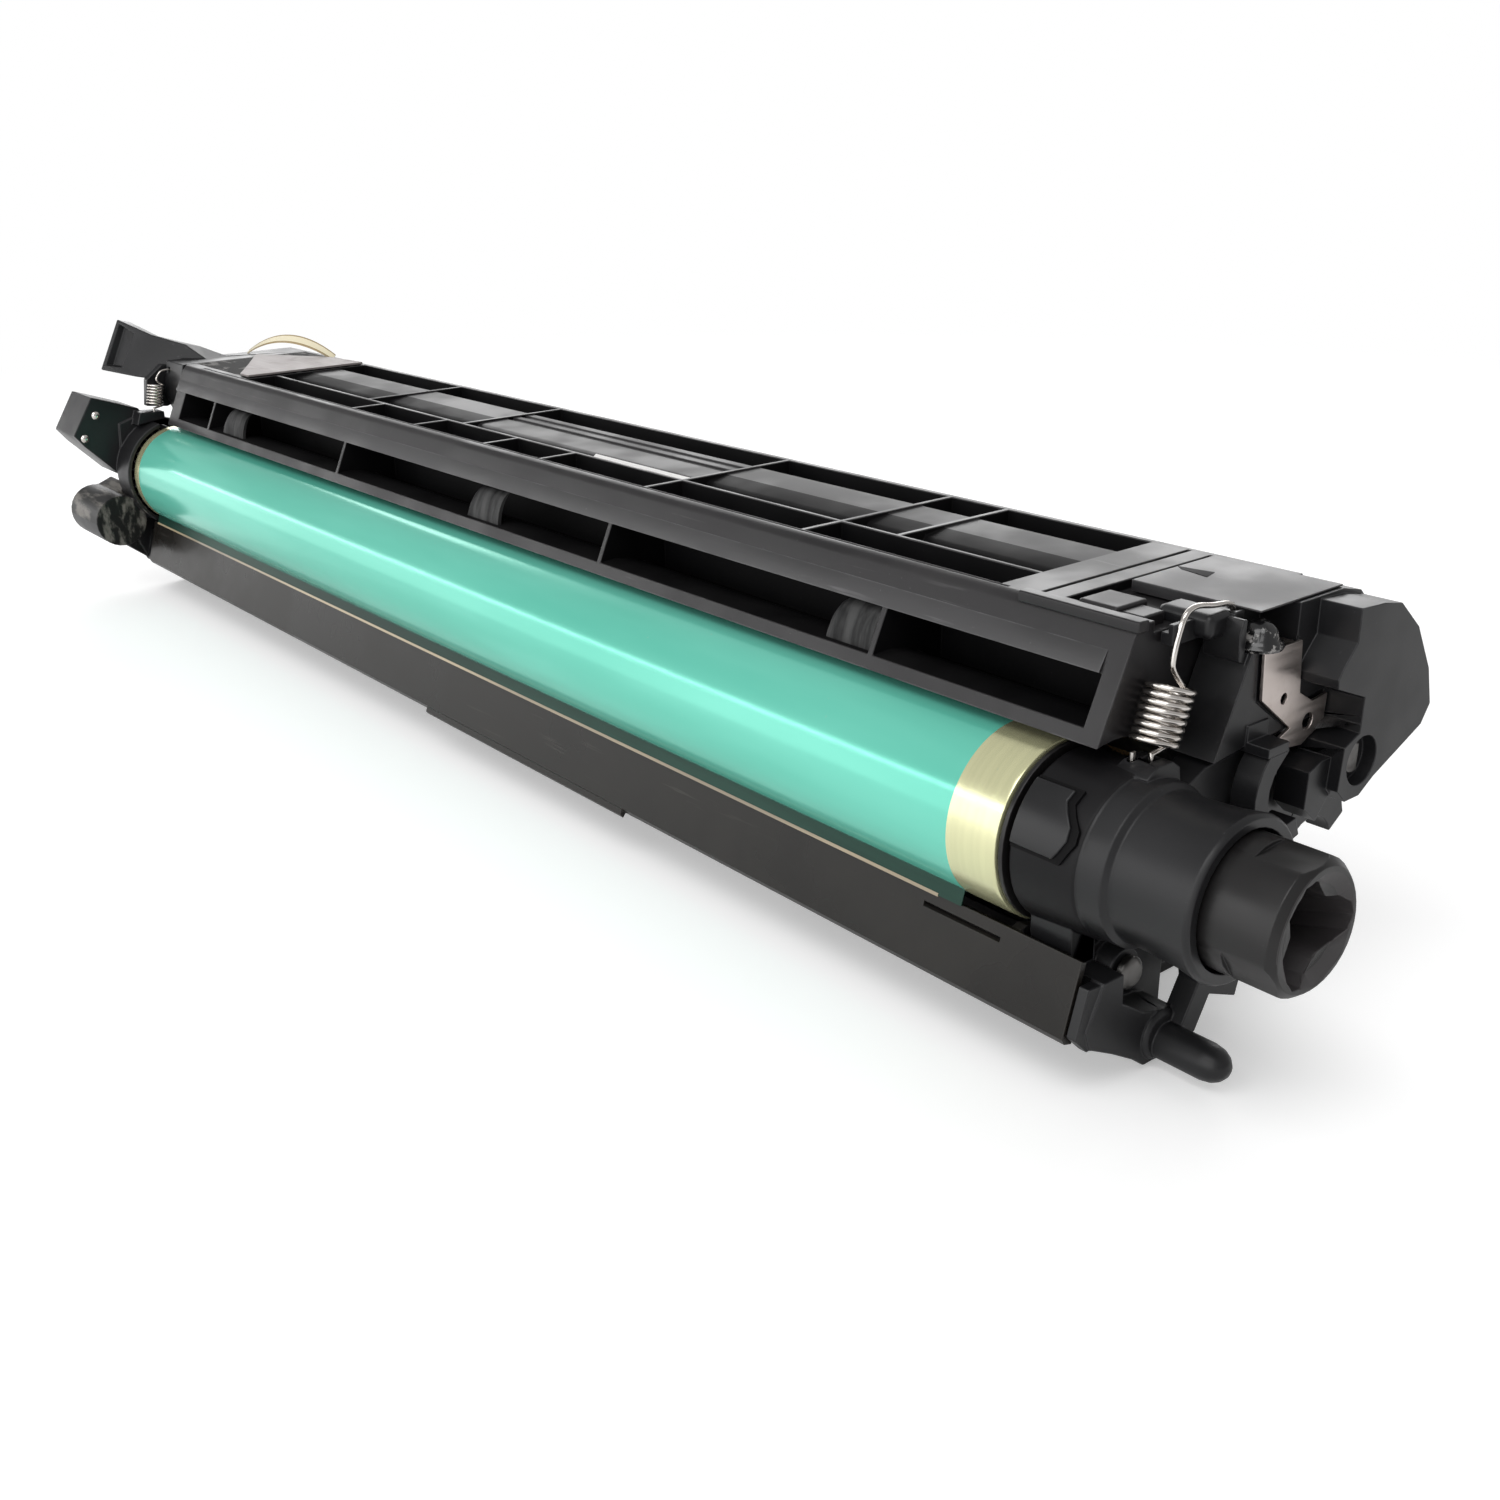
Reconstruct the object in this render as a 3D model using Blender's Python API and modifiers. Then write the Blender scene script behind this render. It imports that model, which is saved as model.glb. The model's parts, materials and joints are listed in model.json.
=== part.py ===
"""Laser printer drum unit: a green photoconductor drum in a black carrier, with a hinged cleaner frame.

Sizes are in millimetres and MM turns them into metres. Everything is modelled round the drum's
axis: X runs along the drum towards the drive end, Y towards the back and Z up.
"""

import math

import bmesh
import bpy
from mathutils import Matrix, Vector

MM = 0.001

# Fits
SEAT_GAP = 0.3
RUNNING_GAP = 0.3

# Drum
DRUM_DIAMETER = 30.0
DRUM_WALL = 1.0
DRUM_LENGTH = 359.0
DRUM_NEAR_X = 2.0
DRUM_STEPS = 48

# Drive coupling and its bearing
COUPLING_TIP_X = 46.5
COUPLING_RADIUS = 10.5
COUPLING_LOBE = 0.5
COUPLING_START_X = 24.0
SOCKET_DEPTH = 13.0
SOCKET_RADIUS = 8.8
SOCKET_LOBE = 4.0
SOCKET_TWIST = 30.0
JOURNAL_RADIUS = 8.0
BUSH_WALL = 2.2
BUSH_START_X = 8.0
BUSH_LENGTH = 10.0
SLEEVE_RIM_X = 35.0
SLEEVE_RIM_RADIUS = 12.9
SLEEVE_WAIST_RADIUS = 11.9
COLLAR_RADIUS = 12.9
COLLAR_X = (15.8, 20.0)
HUB_RADIUS = 14.0
HUB_START_X = 3.5
PATCH_HEIGHT = 0.45
PATCH_ANGLES = (126.0, 134.0, 141.0, 148.0, 156.0, 163.0, 169.0)
PATCH_ENDS_X = (11.2, 11.0, 12.2, 13.6, 13.8, 13.0, 12.0)

# Stand
FOOT_BACK_Y = 14.0

# Cleaner frame section
FRAME_START_X = 11.0
FRAME_FAR_INSET = 5.0
DRUM_AIR = 2.1
FRONT_ANGLE = 103.5
FRONT_SLANT = 24.3
FRONT_HEIGHT = 17.2
TOP_Z = 33.8
BACK_Y = 44.8
BACK_FOOT_Z = 14.0
RAIL_HEIGHT = 2.5
WINDOW_HEIGHT = 8.1
WINDOW_BACK_Y = 13.4
RAIL_WALL = 1.9
RIB_THICKNESS = 1.2
NEAR_RIBS = (-38.0, -118.0)
FAR_RIB_INSETS = (120.0, 35.0)
CROSS_BAR_X = (-17.5, -6.0)
POCKET_RIBS = (-65.0, -113.0, -152.0)
FAR_POCKET_INSETS = (181.0, 148.0, 115.0)
DUCT_WALLS = (-50.5, -65.0, -113.0)
FAR_DUCT_INSETS = (155.0, 105.0)
POCKET_FLOOR_Z = 27.7
POCKET_Y = (6.0, 14.8)
CROWN_BACK_Y = 37.4
WIDE_CROWN_X = -150.0
DIVIDER = 0.9
TOP_FAR_INSET = 47.0
BLADE_SCREW_Z = 20.0
BLADE_SCREW_INSET = 24.0

# Waste duct and its screw
DUCT_CENTRE = (26.0, 26.5)
DUCT_BORE = 5.9
DUCT_WALL = 1.6
AUGER_RADIUS = 5.2
AUGER_SHAFT_RADIUS = 2.0
AUGER_PITCH = 36.0
AUGER_STEPS = 8
FLIGHT_THICKNESS = 1.4

# Cleaning blade
BLADE_THICKNESS = 2.0
HOLDER_THICKNESS = 1.6
HOLDER_AIR = 1.9

# Gears at the far end
GEAR_MODULE = 0.8
DRUM_TEETH = 36
IDLER_TEETH = 22
AUGER_TEETH = 13
GEAR_WIDTH = 5.0
TOOTH_ROOT_SHARE = 0.24
TOOTH_TIP_SHARE = 0.08
TOOTH_TIP_HEIGHT = 0.85
TOOTH_ROOT_DEPTH = 1.2

# Hinge between the two halves
HINGE_Y = 41.0
HINGE_Z = 7.7
HINGE_PIN_RADIUS = 2.5
EAR_RADIUS = 5.0

# Drive end cap
CAP_LAYER_X = 20.0
CAP_FACE_X = 27.0
CAP_BACK_Y = 60.0
COVER_THICKNESS = 1.5

# Contact plate, as (y, z) points
PLATE_OUTLINE = (
    (21.4, 20.6), (20.9, 28.2), (30.5, 28.2), (31.4, 19.6), (35.2, 17.4), (39.2, 17.8), (39.0, 12.9), (35.6, 11.6),
    (33.4, 10.5), (30.2, 10.9), (26.2, 8.8), (24.0, 6.4), (22.6, 7.4), (22.8, 9.8), (26.0, 12.8), (29.8, 14.2))

# Charge roller and its cleaner
CHARGE_RADIUS = 6.0
CHARGE_SHAFT_RADIUS = 3.0
CHARGE_ANGLE = -55.0
FOAM_RADIUS = 4.0
FOAM_SHAFT_RADIUS = 1.8
FOAM_ANGLE = -60.0
ROLLER_GAP = 0.3

# Lower housing and shield
TRAY_WALL = 2.0
TRAY_BACK_Y = 46.0
TRAY_BACK_Z = -3.0
SHIELD_GAP = 2.261
SHIELD_ANGLE = -127.47
SHIELD_DROP = 12.4
SHIELD_SLANT = 16.4
SHIELD_THICKNESS = 1.2
SHIELD_END_X = 16.0
FILM_THICKNESS = 0.35
FILM_WIDTH = 0.7
TRAY_FLOOR_AIR = 4.132

# Springs
SPRING_RADIUS = 3.35
SPRING_WIRE = 0.45
SPRING_TURNS = 9
SPRING_X = 15.0
PRESS_SPRING_RADIUS = 2.2
PRESS_SPRING_WIRE = 0.3
PRESS_SPRING_TURNS = 4

# Screws and pins
FAR_PIN_RADIUS = 3.0
SCREW_RADIUS = 1.3
SCREW_HEAD_RADIUS = 2.7
BRACKET_SCREW = (0.0, -19.0)
CONTACT_SCREW = (17.4, 25.0)
GUIDE_PIN = (6.5, -32.2)
GUIDE_PIN_RADIUS = 3.1
SPRING_EYE = (3.0, 12.6)
LOCK_PIN = (13.2, 1.5)

# Far end
FAR_TIP_OFFSET = -31.5
FAR_EYE = (-3.6, 19.6)
CONTACT_PINS = ((-16.2, 18.0), (-21.8, 10.6))
SHROUD_WALL = 1.3
SHROUD_SPAN = (106.0, 244.0)
FRONT_TIP_Y = -28.0

# Values that follow from the sizes above
DRUM_RADIUS = DRUM_DIAMETER / 2
FAR = DRUM_NEAR_X - DRUM_LENGTH
FRAME_FAR_X = FAR + FRAME_FAR_INSET
FRAME_ARC = DRUM_RADIUS + DRUM_AIR
HOLDER_Y = DRUM_RADIUS + HOLDER_AIR
BUSH_RADIUS = JOURNAL_RADIUS + RUNNING_GAP + BUSH_WALL
SLEEVE_BORE = max(BUSH_RADIUS, COUPLING_RADIUS) + SEAT_GAP
GEAR_NEAR_X = FAR - 1.2
GEAR_FAR_X = GEAR_NEAR_X - GEAR_WIDTH
CAP_PLATE_X = GEAR_FAR_X - 1.0
FAR_PLATE_X = CAP_PLATE_X - 2.2
DUCT_RADIUS = DUCT_BORE + DUCT_WALL
FAR_TIP_X = FAR + FAR_TIP_OFFSET
FAR_SPRING_X = FAR - 6.4
WINDOW_RIBS = (*NEAR_RIBS, *(FAR + inset for inset in FAR_RIB_INSETS))
POCKET_WALLS = (*POCKET_RIBS, *(FAR + inset for inset in FAR_POCKET_INSETS))
CROWN_WALLS = (*DUCT_WALLS, *(FAR + inset for inset in FAR_DUCT_INSETS))
WINDOW_CLIPS = ((FAR + 44.0, 13.5), (FAR + 185.0, 12.5), (NEAR_RIBS[0] - 11.6, 10.5))
SCREW_HOLE = SCREW_RADIUS + SEAT_GAP
HINGE_PLATE_X = CAP_LAYER_X - 0.8
EAR_END_X = HINGE_PLATE_X - RUNNING_GAP

AXES = {
    "X": Matrix(((0, 0, 1, 0), (1, 0, 0, 0), (0, 1, 0, 0), (0, 0, 0, 1))),
    "Y": Matrix(((1, 0, 0, 0), (0, 0, 1, 0), (0, -1, 0, 0), (0, 0, 0, 1))),
    "Z": Matrix.Identity(4),
}


def clear_scene():
    """Empty the scene."""
    for obj in list(bpy.data.objects):
        bpy.data.objects.remove(obj)


def new_collection(name, hidden=False):
    """A collection of the scene; a hidden one holds cutters and joined shapes."""
    collection = bpy.data.collections.new(name)
    collection.hide_render = hidden
    bpy.context.scene.collection.children.link(collection)
    return collection


clear_scene()
PARTS = new_collection("printer_drum_unit")
TOOLS = new_collection("cutters", hidden=True)


def finish(name, colour, roughness, metallic=0.0):
    """A plain material of one colour."""
    material = bpy.data.materials.new(name)
    material.use_nodes = True
    shader = material.node_tree.nodes["Principled BSDF"]
    shader.inputs["Base Color"].default_value = (*colour, 1.0)
    shader.inputs["Roughness"].default_value = roughness
    shader.inputs["Metallic"].default_value = metallic
    return material


BLACK_PLASTIC = finish("black_plastic", (0.022, 0.021, 0.023), 0.45)
GREY_PLASTIC = finish("grey_plastic", (0.05, 0.048, 0.052), 0.4)
GLOSS_BLACK = finish("gloss_black", (0.02, 0.019, 0.018), 0.2)
DRUM_COATING = finish("drum_coating", (0.03, 0.42, 0.30), 0.15, 0.3)
STEEL = finish("steel", (0.62, 0.6, 0.58), 0.25, 1.0)
CONTACT_METAL = finish("contact_metal", (0.66, 0.58, 0.56), 0.3, 1.0)
PLATE_METAL = finish("plate_metal", (0.42, 0.4, 0.43), 0.45, 0.6)
BLADE_RUBBER = finish("blade_rubber", (0.55, 0.4, 0.25), 0.6)
ROLLER_RUBBER = finish("roller_rubber", (0.03, 0.03, 0.032), 0.7)
FOAM = finish("foam", (0.3, 0.3, 0.32), 0.95)
CLEAR_FILM = finish("clear_film", (0.5, 0.4, 0.22), 0.2)
CREAM_FILM = finish("cream_film", (0.78, 0.74, 0.55), 0.35)
GEAR_PLASTIC = finish("gear_plastic", (0.06, 0.06, 0.065), 0.5)


def axis_empty(name, place, parent=None):
    """An empty on a joint's axis, at a place given from the drum's axis."""
    empty = bpy.data.objects.new(name, None)
    empty.location = Vector(place) * MM
    empty.parent = parent
    PARTS.objects.link(empty)
    return empty


def baked(obj):
    """The object's evaluated shape as a plain, welded mesh in place."""
    TOOLS.objects.link(obj)
    graph = bpy.context.evaluated_depsgraph_get()
    mesh = bpy.data.meshes.new_from_object(obj.evaluated_get(graph))
    cage = bmesh.new()
    cage.from_mesh(mesh)
    cage.transform(obj.matrix_world)
    bmesh.ops.remove_doubles(cage, verts=cage.verts, dist=1e-6)
    bmesh.ops.recalc_face_normals(cage, faces=cage.faces)
    cage.to_mesh(mesh)
    cage.free()
    name = obj.name
    bpy.data.objects.remove(obj)
    return bpy.data.objects.new(name, mesh)


def from_cage(name, cage):
    """A mesh object made from a bmesh."""
    mesh = bpy.data.meshes.new(name)
    cage.to_mesh(mesh)
    cage.free()
    return bpy.data.objects.new(name, mesh)


def prism(name, outline, low, high, axis="X", holes=()):
    """A flat outline extruded from low to high along an axis.

    The outline is (y, z) for X, (x, -z) for Y and (x, y) for Z.
    """
    curve = bpy.data.curves.new(name, "CURVE")
    curve.dimensions = "2D"
    curve.fill_mode = "BOTH"
    curve.extrude = abs(high - low) / 2 * MM
    for ring in (outline, *holes):
        spline = curve.splines.new("POLY")
        spline.points.add(len(ring) - 1)
        for point, (a, b) in zip(spline.points, ring):
            point.co = (a * MM, b * MM, 0, 1)
        spline.use_cyclic_u = True
    obj = bpy.data.objects.new(name, curve)
    obj.matrix_world = AXES[axis] @ Matrix.Translation((0, 0, (low + high) / 2 * MM))
    return baked(obj)


def box(name, low, high, bevel=0.0):
    """A box between two corners, with its edges rounded by one facet."""
    cage = bmesh.new()
    size = [abs(b - a) for a, b in zip(low, high)]
    middle = [(a + b) / 2 for a, b in zip(low, high)]
    place = Matrix.Translation(Vector(middle) * MM) @ Matrix.Diagonal((*[s * MM for s in size], 1))
    bmesh.ops.create_cube(cage, size=1, matrix=place)
    obj = from_cage(name, cage)
    if bevel:
        rounding = obj.modifiers.new("Rounding", "BEVEL")
        rounding.width = bevel * MM
        rounding.segments = 1
        obj = baked(obj)
    return obj


def cylinder(name, low, high, radius, centre=(0.0, 0.0), axis="X", sides=20):
    """A cylinder along an axis; centre is (y, z) for X, (x, -z) for Y and (x, y) for Z."""
    cage = bmesh.new()
    place = AXES[axis] @ Matrix.Translation(Vector((*centre, (low + high) / 2)) * MM)
    bmesh.ops.create_cone(cage, cap_ends=True, segments=sides, radius1=radius * MM,
                          radius2=radius * MM, depth=abs(high - low) * MM, matrix=place)
    return from_cage(name, cage)


def turned(name, profile, centre=(0.0, 0.0), axis="X", steps=24, ring=False):
    """A profile of (along, radius) points turned round an axis; ring closes a hollow profile."""
    mesh = bpy.data.meshes.new(name)
    points = [(radius * MM, 0, along * MM) for along, radius in profile]
    count = len(points)
    edges = [(i, (i + 1) % count) for i in range(count if ring else count - 1)]
    mesh.from_pydata(points, edges, [])
    obj = bpy.data.objects.new(name, mesh)
    obj.matrix_world = AXES[axis] @ Matrix.Translation((*[c * MM for c in centre], 0))
    screw = obj.modifiers.new("Turning", "SCREW")
    screw.steps = steps
    screw.render_steps = steps
    screw.use_merge_vertices = True
    screw.merge_threshold = 1e-6
    return baked(obj)


def wire(name, points, radius, resolution=2):
    """A round wire along points, with closed ends."""
    curve = bpy.data.curves.new(name, "CURVE")
    curve.dimensions = "3D"
    curve.bevel_depth = radius * MM
    curve.bevel_resolution = resolution
    curve.use_fill_caps = True
    spline = curve.splines.new("POLY")
    spline.points.add(len(points) - 1)
    for point, place in zip(spline.points, points):
        point.co = (*(Vector(place) * MM), 1)
    return baked(bpy.data.objects.new(name, curve))


def loft(name, sections):
    """A closed body through sections that each have the same number of points."""
    cage = bmesh.new()
    rings = [[cage.verts.new(Vector(p) * MM) for p in section] for section in sections]
    count = len(rings[0])
    for first, second in zip(rings, rings[1:]):
        for i in range(count):
            j = (i + 1) % count
            cage.faces.new((first[i], first[j], second[j], second[i]))
    cage.faces.new(rings[0][::-1])
    cage.faces.new(rings[-1])
    bmesh.ops.recalc_face_normals(cage, faces=cage.faces)
    return from_cage(name, cage)


def swept(name, outline, stations):
    """An outline carried along X through stations of (x, scale, twist in degrees)."""
    sections = []
    for x, scale, twist in stations:
        turn = Matrix.Rotation(math.radians(twist), 2)
        placed = [turn @ Vector(point) * scale for point in outline]
        sections.append([(x, y, z) for y, z in placed])
    return loft(name, sections)


def as_one(name, objects):
    """Shapes that don't touch, joined in one mesh so that one Boolean cuts or adds them all."""
    cage = bmesh.new()
    for obj in objects:
        cage.from_mesh(obj.data)
        bpy.data.objects.remove(obj)
    return from_cage(name, cage)


def adopt(obj, carrier, collection):
    """Put an object modelled round the drum's axis under its carrier, without moving it."""
    collection.objects.link(obj)
    obj.parent = carrier
    if carrier is not ROOT:
        obj.location = -carrier.location


def piece(name, carrier, material, shapes, cuts=()):
    """One finished piece: shapes joined into the first of them, then the cuts taken away."""
    body = shapes[0]
    body.name = name
    body.data.name = name
    adopt(body, carrier, PARTS)
    for operation, tools in (("UNION", shapes[1:]), ("DIFFERENCE", cuts)):
        for tool in tools:
            modifier = body.modifiers.new(tool.name, "BOOLEAN")
            modifier.operation = operation
            modifier.object = tool
            tool.hide_render = True
            tool.display_type = "WIRE"
            adopt(tool, carrier, TOOLS)
    body.data.materials.append(material)
    body.data.shade_smooth()
    body.data.set_sharp_from_angle(angle=math.radians(32))
    return body


def polar(radius, degrees, centre=(0.0, 0.0)):
    """The point at a radius and angle about a centre."""
    angle = math.radians(degrees)
    return (centre[0] + radius * math.cos(angle), centre[1] + radius * math.sin(angle))


def arc(radius, start, end, count, centre=(0.0, 0.0)):
    """Points along an arc, both ends included."""
    return [polar(radius, start + (end - start) * i / (count - 1), centre) for i in range(count)]


def lobed(radius, lobe, count=36, turn=90.0):
    """A round outline with three soft lobes; lobe is how far it draws in between them."""
    points = []
    for i in range(count):
        degrees = 360.0 * i / count
        dip = lobe * (1 - math.cos(math.radians(3 * (degrees - turn)))) / 2
        points.append(polar(radius - dip, degrees))
    return points


def gear_outline(teeth, phase):
    """Trapezoid teeth about the origin, one of them centred on the phase angle."""
    pitch_radius = GEAR_MODULE * teeth / 2
    root = pitch_radius - TOOTH_ROOT_DEPTH * GEAR_MODULE
    tip = pitch_radius + TOOTH_TIP_HEIGHT * GEAR_MODULE
    step = 360.0 / teeth
    points = []
    for i in range(teeth):
        middle = phase + i * step
        for radius, share in ((root, -TOOTH_ROOT_SHARE), (tip, -TOOTH_TIP_SHARE),
                              (tip, TOOTH_TIP_SHARE), (root, TOOTH_ROOT_SHARE)):
            points.append(polar(radius, middle + share * step))
    return points


def shifted(outline, centre):
    """An outline moved to a centre."""
    return [(a + centre[0], b + centre[1]) for a, b in outline]


def grown(outline, margin):
    """An outline moved outwards by a margin, corner by corner; its points run clockwise."""
    moved = []
    for before, here, after in zip((outline[-1], *outline), outline, (*outline[1:], outline[0])):
        first = (Vector(here) - Vector(before)).normalized()
        second = (Vector(after) - Vector(here)).normalized()
        side = Vector((-first.y - second.y, first.x + second.x))
        share = max(0.4, side.length_squared / 4)
        moved.append(tuple(Vector(here) + side / 2 * margin / share))
    return moved


def gear_centre():
    """The idler's centre, in mesh with the drum's gear and with the waste screw's gear."""
    first = GEAR_MODULE * (DRUM_TEETH + IDLER_TEETH) / 2
    second = GEAR_MODULE * (IDLER_TEETH + AUGER_TEETH) / 2
    span = math.hypot(*DUCT_CENTRE)
    cosine = (first**2 + span**2 - second**2) / (2 * first * span)
    swing = math.degrees(math.acos(max(-1.0, min(1.0, cosine))))
    line = math.degrees(math.atan2(DUCT_CENTRE[1], DUCT_CENTRE[0]))
    return polar(first, line + swing)


def bearing_of(start, end):
    """The direction in degrees from one point to another."""
    return math.degrees(math.atan2(end[1] - start[1], end[0] - start[0]))


def mesh_phase(phase, teeth, direction, next_teeth):
    """The phase of the next gear along a direction, so that its gap faces this gear's tooth."""
    step = 360.0 / teeth
    next_step = 360.0 / next_teeth
    tooth = (phase - direction) % step
    return direction + 180.0 - (tooth / step + 0.5) * next_step


def front(height, out=0.0):
    """A point on the frame's slanted front face, at a height along it and a distance before it."""
    foot = polar(FRAME_ARC, FRONT_ANGLE)
    lean = math.radians(FRONT_SLANT)
    return (foot[0] + height * math.sin(lean) - out * math.cos(lean),
            foot[1] + height * math.cos(lean) + out * math.sin(lean))


def shield_line(drop, back=0.0):
    """A point on the shield's front face, at a drop along it and a distance behind it."""
    lean = math.radians(SHIELD_SLANT)
    return (SHIELD_TOP[0] - drop * math.sin(lean) + back * math.cos(lean),
            SHIELD_TOP[1] - drop * math.cos(lean) - back * math.sin(lean))


def bays(start, end, walls, thickness):
    """The stretches between walls from start down to end, each as (low, high)."""
    inside = [w for w in sorted(walls, reverse=True) if end + thickness < w < start - thickness]
    highs = [start] + [w - thickness / 2 for w in inside]
    lows = [w + thickness / 2 for w in inside] + [end]
    return list(zip(lows, highs))


SHIELD_TOP = polar(DRUM_RADIUS + SHIELD_GAP, SHIELD_ANGLE)
IDLER_CENTRE = gear_centre()
CHARGE_CENTRE = polar(DRUM_RADIUS + CHARGE_RADIUS + ROLLER_GAP, CHARGE_ANGLE)
FOAM_CENTRE = polar(CHARGE_RADIUS + FOAM_RADIUS + ROLLER_GAP, FOAM_ANGLE, CHARGE_CENTRE)
AXIS_HEIGHT = FOAM_RADIUS + TRAY_FLOOR_AIR + TRAY_WALL - FOAM_CENTRE[1]
ORIGIN = (-(COUPLING_TIP_X + FAR_TIP_X) / 2, -(CAP_BACK_Y + FRONT_TIP_Y) / 2, AXIS_HEIGHT)
ROOT = axis_empty("drum_unit_origin", ORIGIN)
DRUM_AXIS = axis_empty("drum_axis", (0, 0, 0), ROOT)
HINGE_AXIS = axis_empty("hinge_axis", (0, HINGE_Y, HINGE_Z), ROOT)
CHARGE_AXIS = axis_empty("charge_roller_axis", (0, *CHARGE_CENTRE), ROOT)
FOAM_AXIS = axis_empty("foam_roller_axis", (0, *FOAM_CENTRE), ROOT)
AUGER_AXIS = axis_empty("auger_axis", (0, *DUCT_CENTRE), ROOT)
IDLER_AXIS = axis_empty("idler_axis", (0, *IDLER_CENTRE), ROOT)


def make_drum():
    """The coated tube, its two flanges and the earth plate inside."""
    inner = DRUM_RADIUS - DRUM_WALL
    tube = turned("drum_tube", [(FAR, inner), (DRUM_NEAR_X, inner), (DRUM_NEAR_X, DRUM_RADIUS),
                                (FAR, DRUM_RADIUS)], steps=DRUM_STEPS, ring=True)
    piece("drum_tube", DRUM_AXIS, DRUM_COATING, [tube])

    spigot = inner - SEAT_GAP
    near = DRUM_NEAR_X + SEAT_GAP
    flange = turned("drive_flange", [(DRUM_NEAR_X - 12, 0), (DRUM_NEAR_X - 12, spigot), (near, spigot),
                                     (near, DRUM_RADIUS - 0.4), (near + 0.8, DRUM_RADIUS - 0.4),
                                     (near + 0.8, JOURNAL_RADIUS), (COUPLING_START_X + 1, JOURNAL_RADIUS),
                                     (COUPLING_START_X + 1, 0)], steps=40)
    tip = COUPLING_TIP_X
    start = COUPLING_START_X
    tube = swept("coupling_tube", lobed(COUPLING_RADIUS, COUPLING_LOBE),
                 [(start - 4, 0.86, 0), (start, 1.0, 0), (tip - 1.2, 1.0, 0), (tip, 0.9, 0)])
    chamfer = turned("socket_chamfer", [(tip + 1, 0), (tip + 1, SOCKET_RADIUS + 0.2), (tip, SOCKET_RADIUS - 0.3),
                                        (tip - 1.1, SOCKET_RADIUS - 2.2), (tip - 1.1, 0)])
    depth = tip - 1.0 - SOCKET_DEPTH
    turns = 6
    stations = [(depth + (tip + 1 - depth) * i / turns, 1.0, SOCKET_TWIST * i / turns)
                for i in range(turns + 1)]
    socket = swept("coupling_socket", lobed(SOCKET_RADIUS, SOCKET_LOBE, 24), stations)
    piece("drive_flange", DRUM_AXIS, BLACK_PLASTIC, [flange, tube], [chamfer, socket])

    bore = FAR_PIN_RADIUS + RUNNING_GAP
    teeth = prism("drum_gear_teeth", gear_outline(DRUM_TEETH, bearing_of((0, 0), IDLER_CENTRE)),
                  GEAR_FAR_X, GEAR_NEAR_X)
    flange = turned("far_flange", [(FAR + 10, bore), (FAR + 10, spigot), (FAR - SEAT_GAP, spigot),
                                   (FAR - SEAT_GAP, DRUM_RADIUS - 0.4), (FAR - 1.1, DRUM_RADIUS - 0.4),
                                   (FAR - 1.1, DRUM_RADIUS - 3), (GEAR_NEAR_X - 1, DRUM_RADIUS - 3),
                                   (GEAR_NEAR_X - 1, bore)], steps=20, ring=True)
    hole = cylinder("far_flange_bore", GEAR_FAR_X - 1, FAR + 11, bore)
    piece("far_flange", DRUM_AXIS, GEAR_PLASTIC, [flange, teeth], [hole])

    plate = turned("drum_earth_plate", [(FAR + 10.4, bore + 0.2), (FAR + 11.0, bore + 0.2),
                                        (FAR + 11.0, inner - 0.3), (FAR + 10.4, inner - 0.3)], ring=True)
    piece("drum_earth_plate", DRUM_AXIS, CONTACT_METAL, [plate])


def make_bearing_sleeve():
    """The turned shapes of the drive end bracket: hub, collar and flared sleeve."""
    waist = SLEEVE_WAIST_RADIUS
    low, high = COLLAR_X
    profile = [(HUB_START_X, 0), (HUB_START_X, HUB_RADIUS - 0.6), (HUB_START_X + 0.6, HUB_RADIUS),
               (low - 0.6, HUB_RADIUS - 0.6), (low, COLLAR_RADIUS), (high, COLLAR_RADIUS),
               (high + 0.8, waist), (high + 5.0, waist), (high + 10.0, waist + 0.3),
               (SLEEVE_RIM_X - 0.8, SLEEVE_RIM_RADIUS), (SLEEVE_RIM_X, SLEEVE_RIM_RADIUS - 0.5), (SLEEVE_RIM_X, 0)]
    return turned("bearing_sleeve", profile, steps=40)


def hub_patch():
    """The raised pad that curves round the front of the hub."""
    sections = []
    for degrees, end in zip(PATCH_ANGLES, PATCH_ENDS_X):
        inner = polar(HUB_RADIUS - 1.5, degrees)
        outer = polar(HUB_RADIUS + PATCH_HEIGHT, degrees)
        start = HUB_START_X + 0.4
        sections.append([(start, *inner), (end, *inner), (end, *outer), (start, *outer)])
    return loft("hub_patch", sections)


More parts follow.
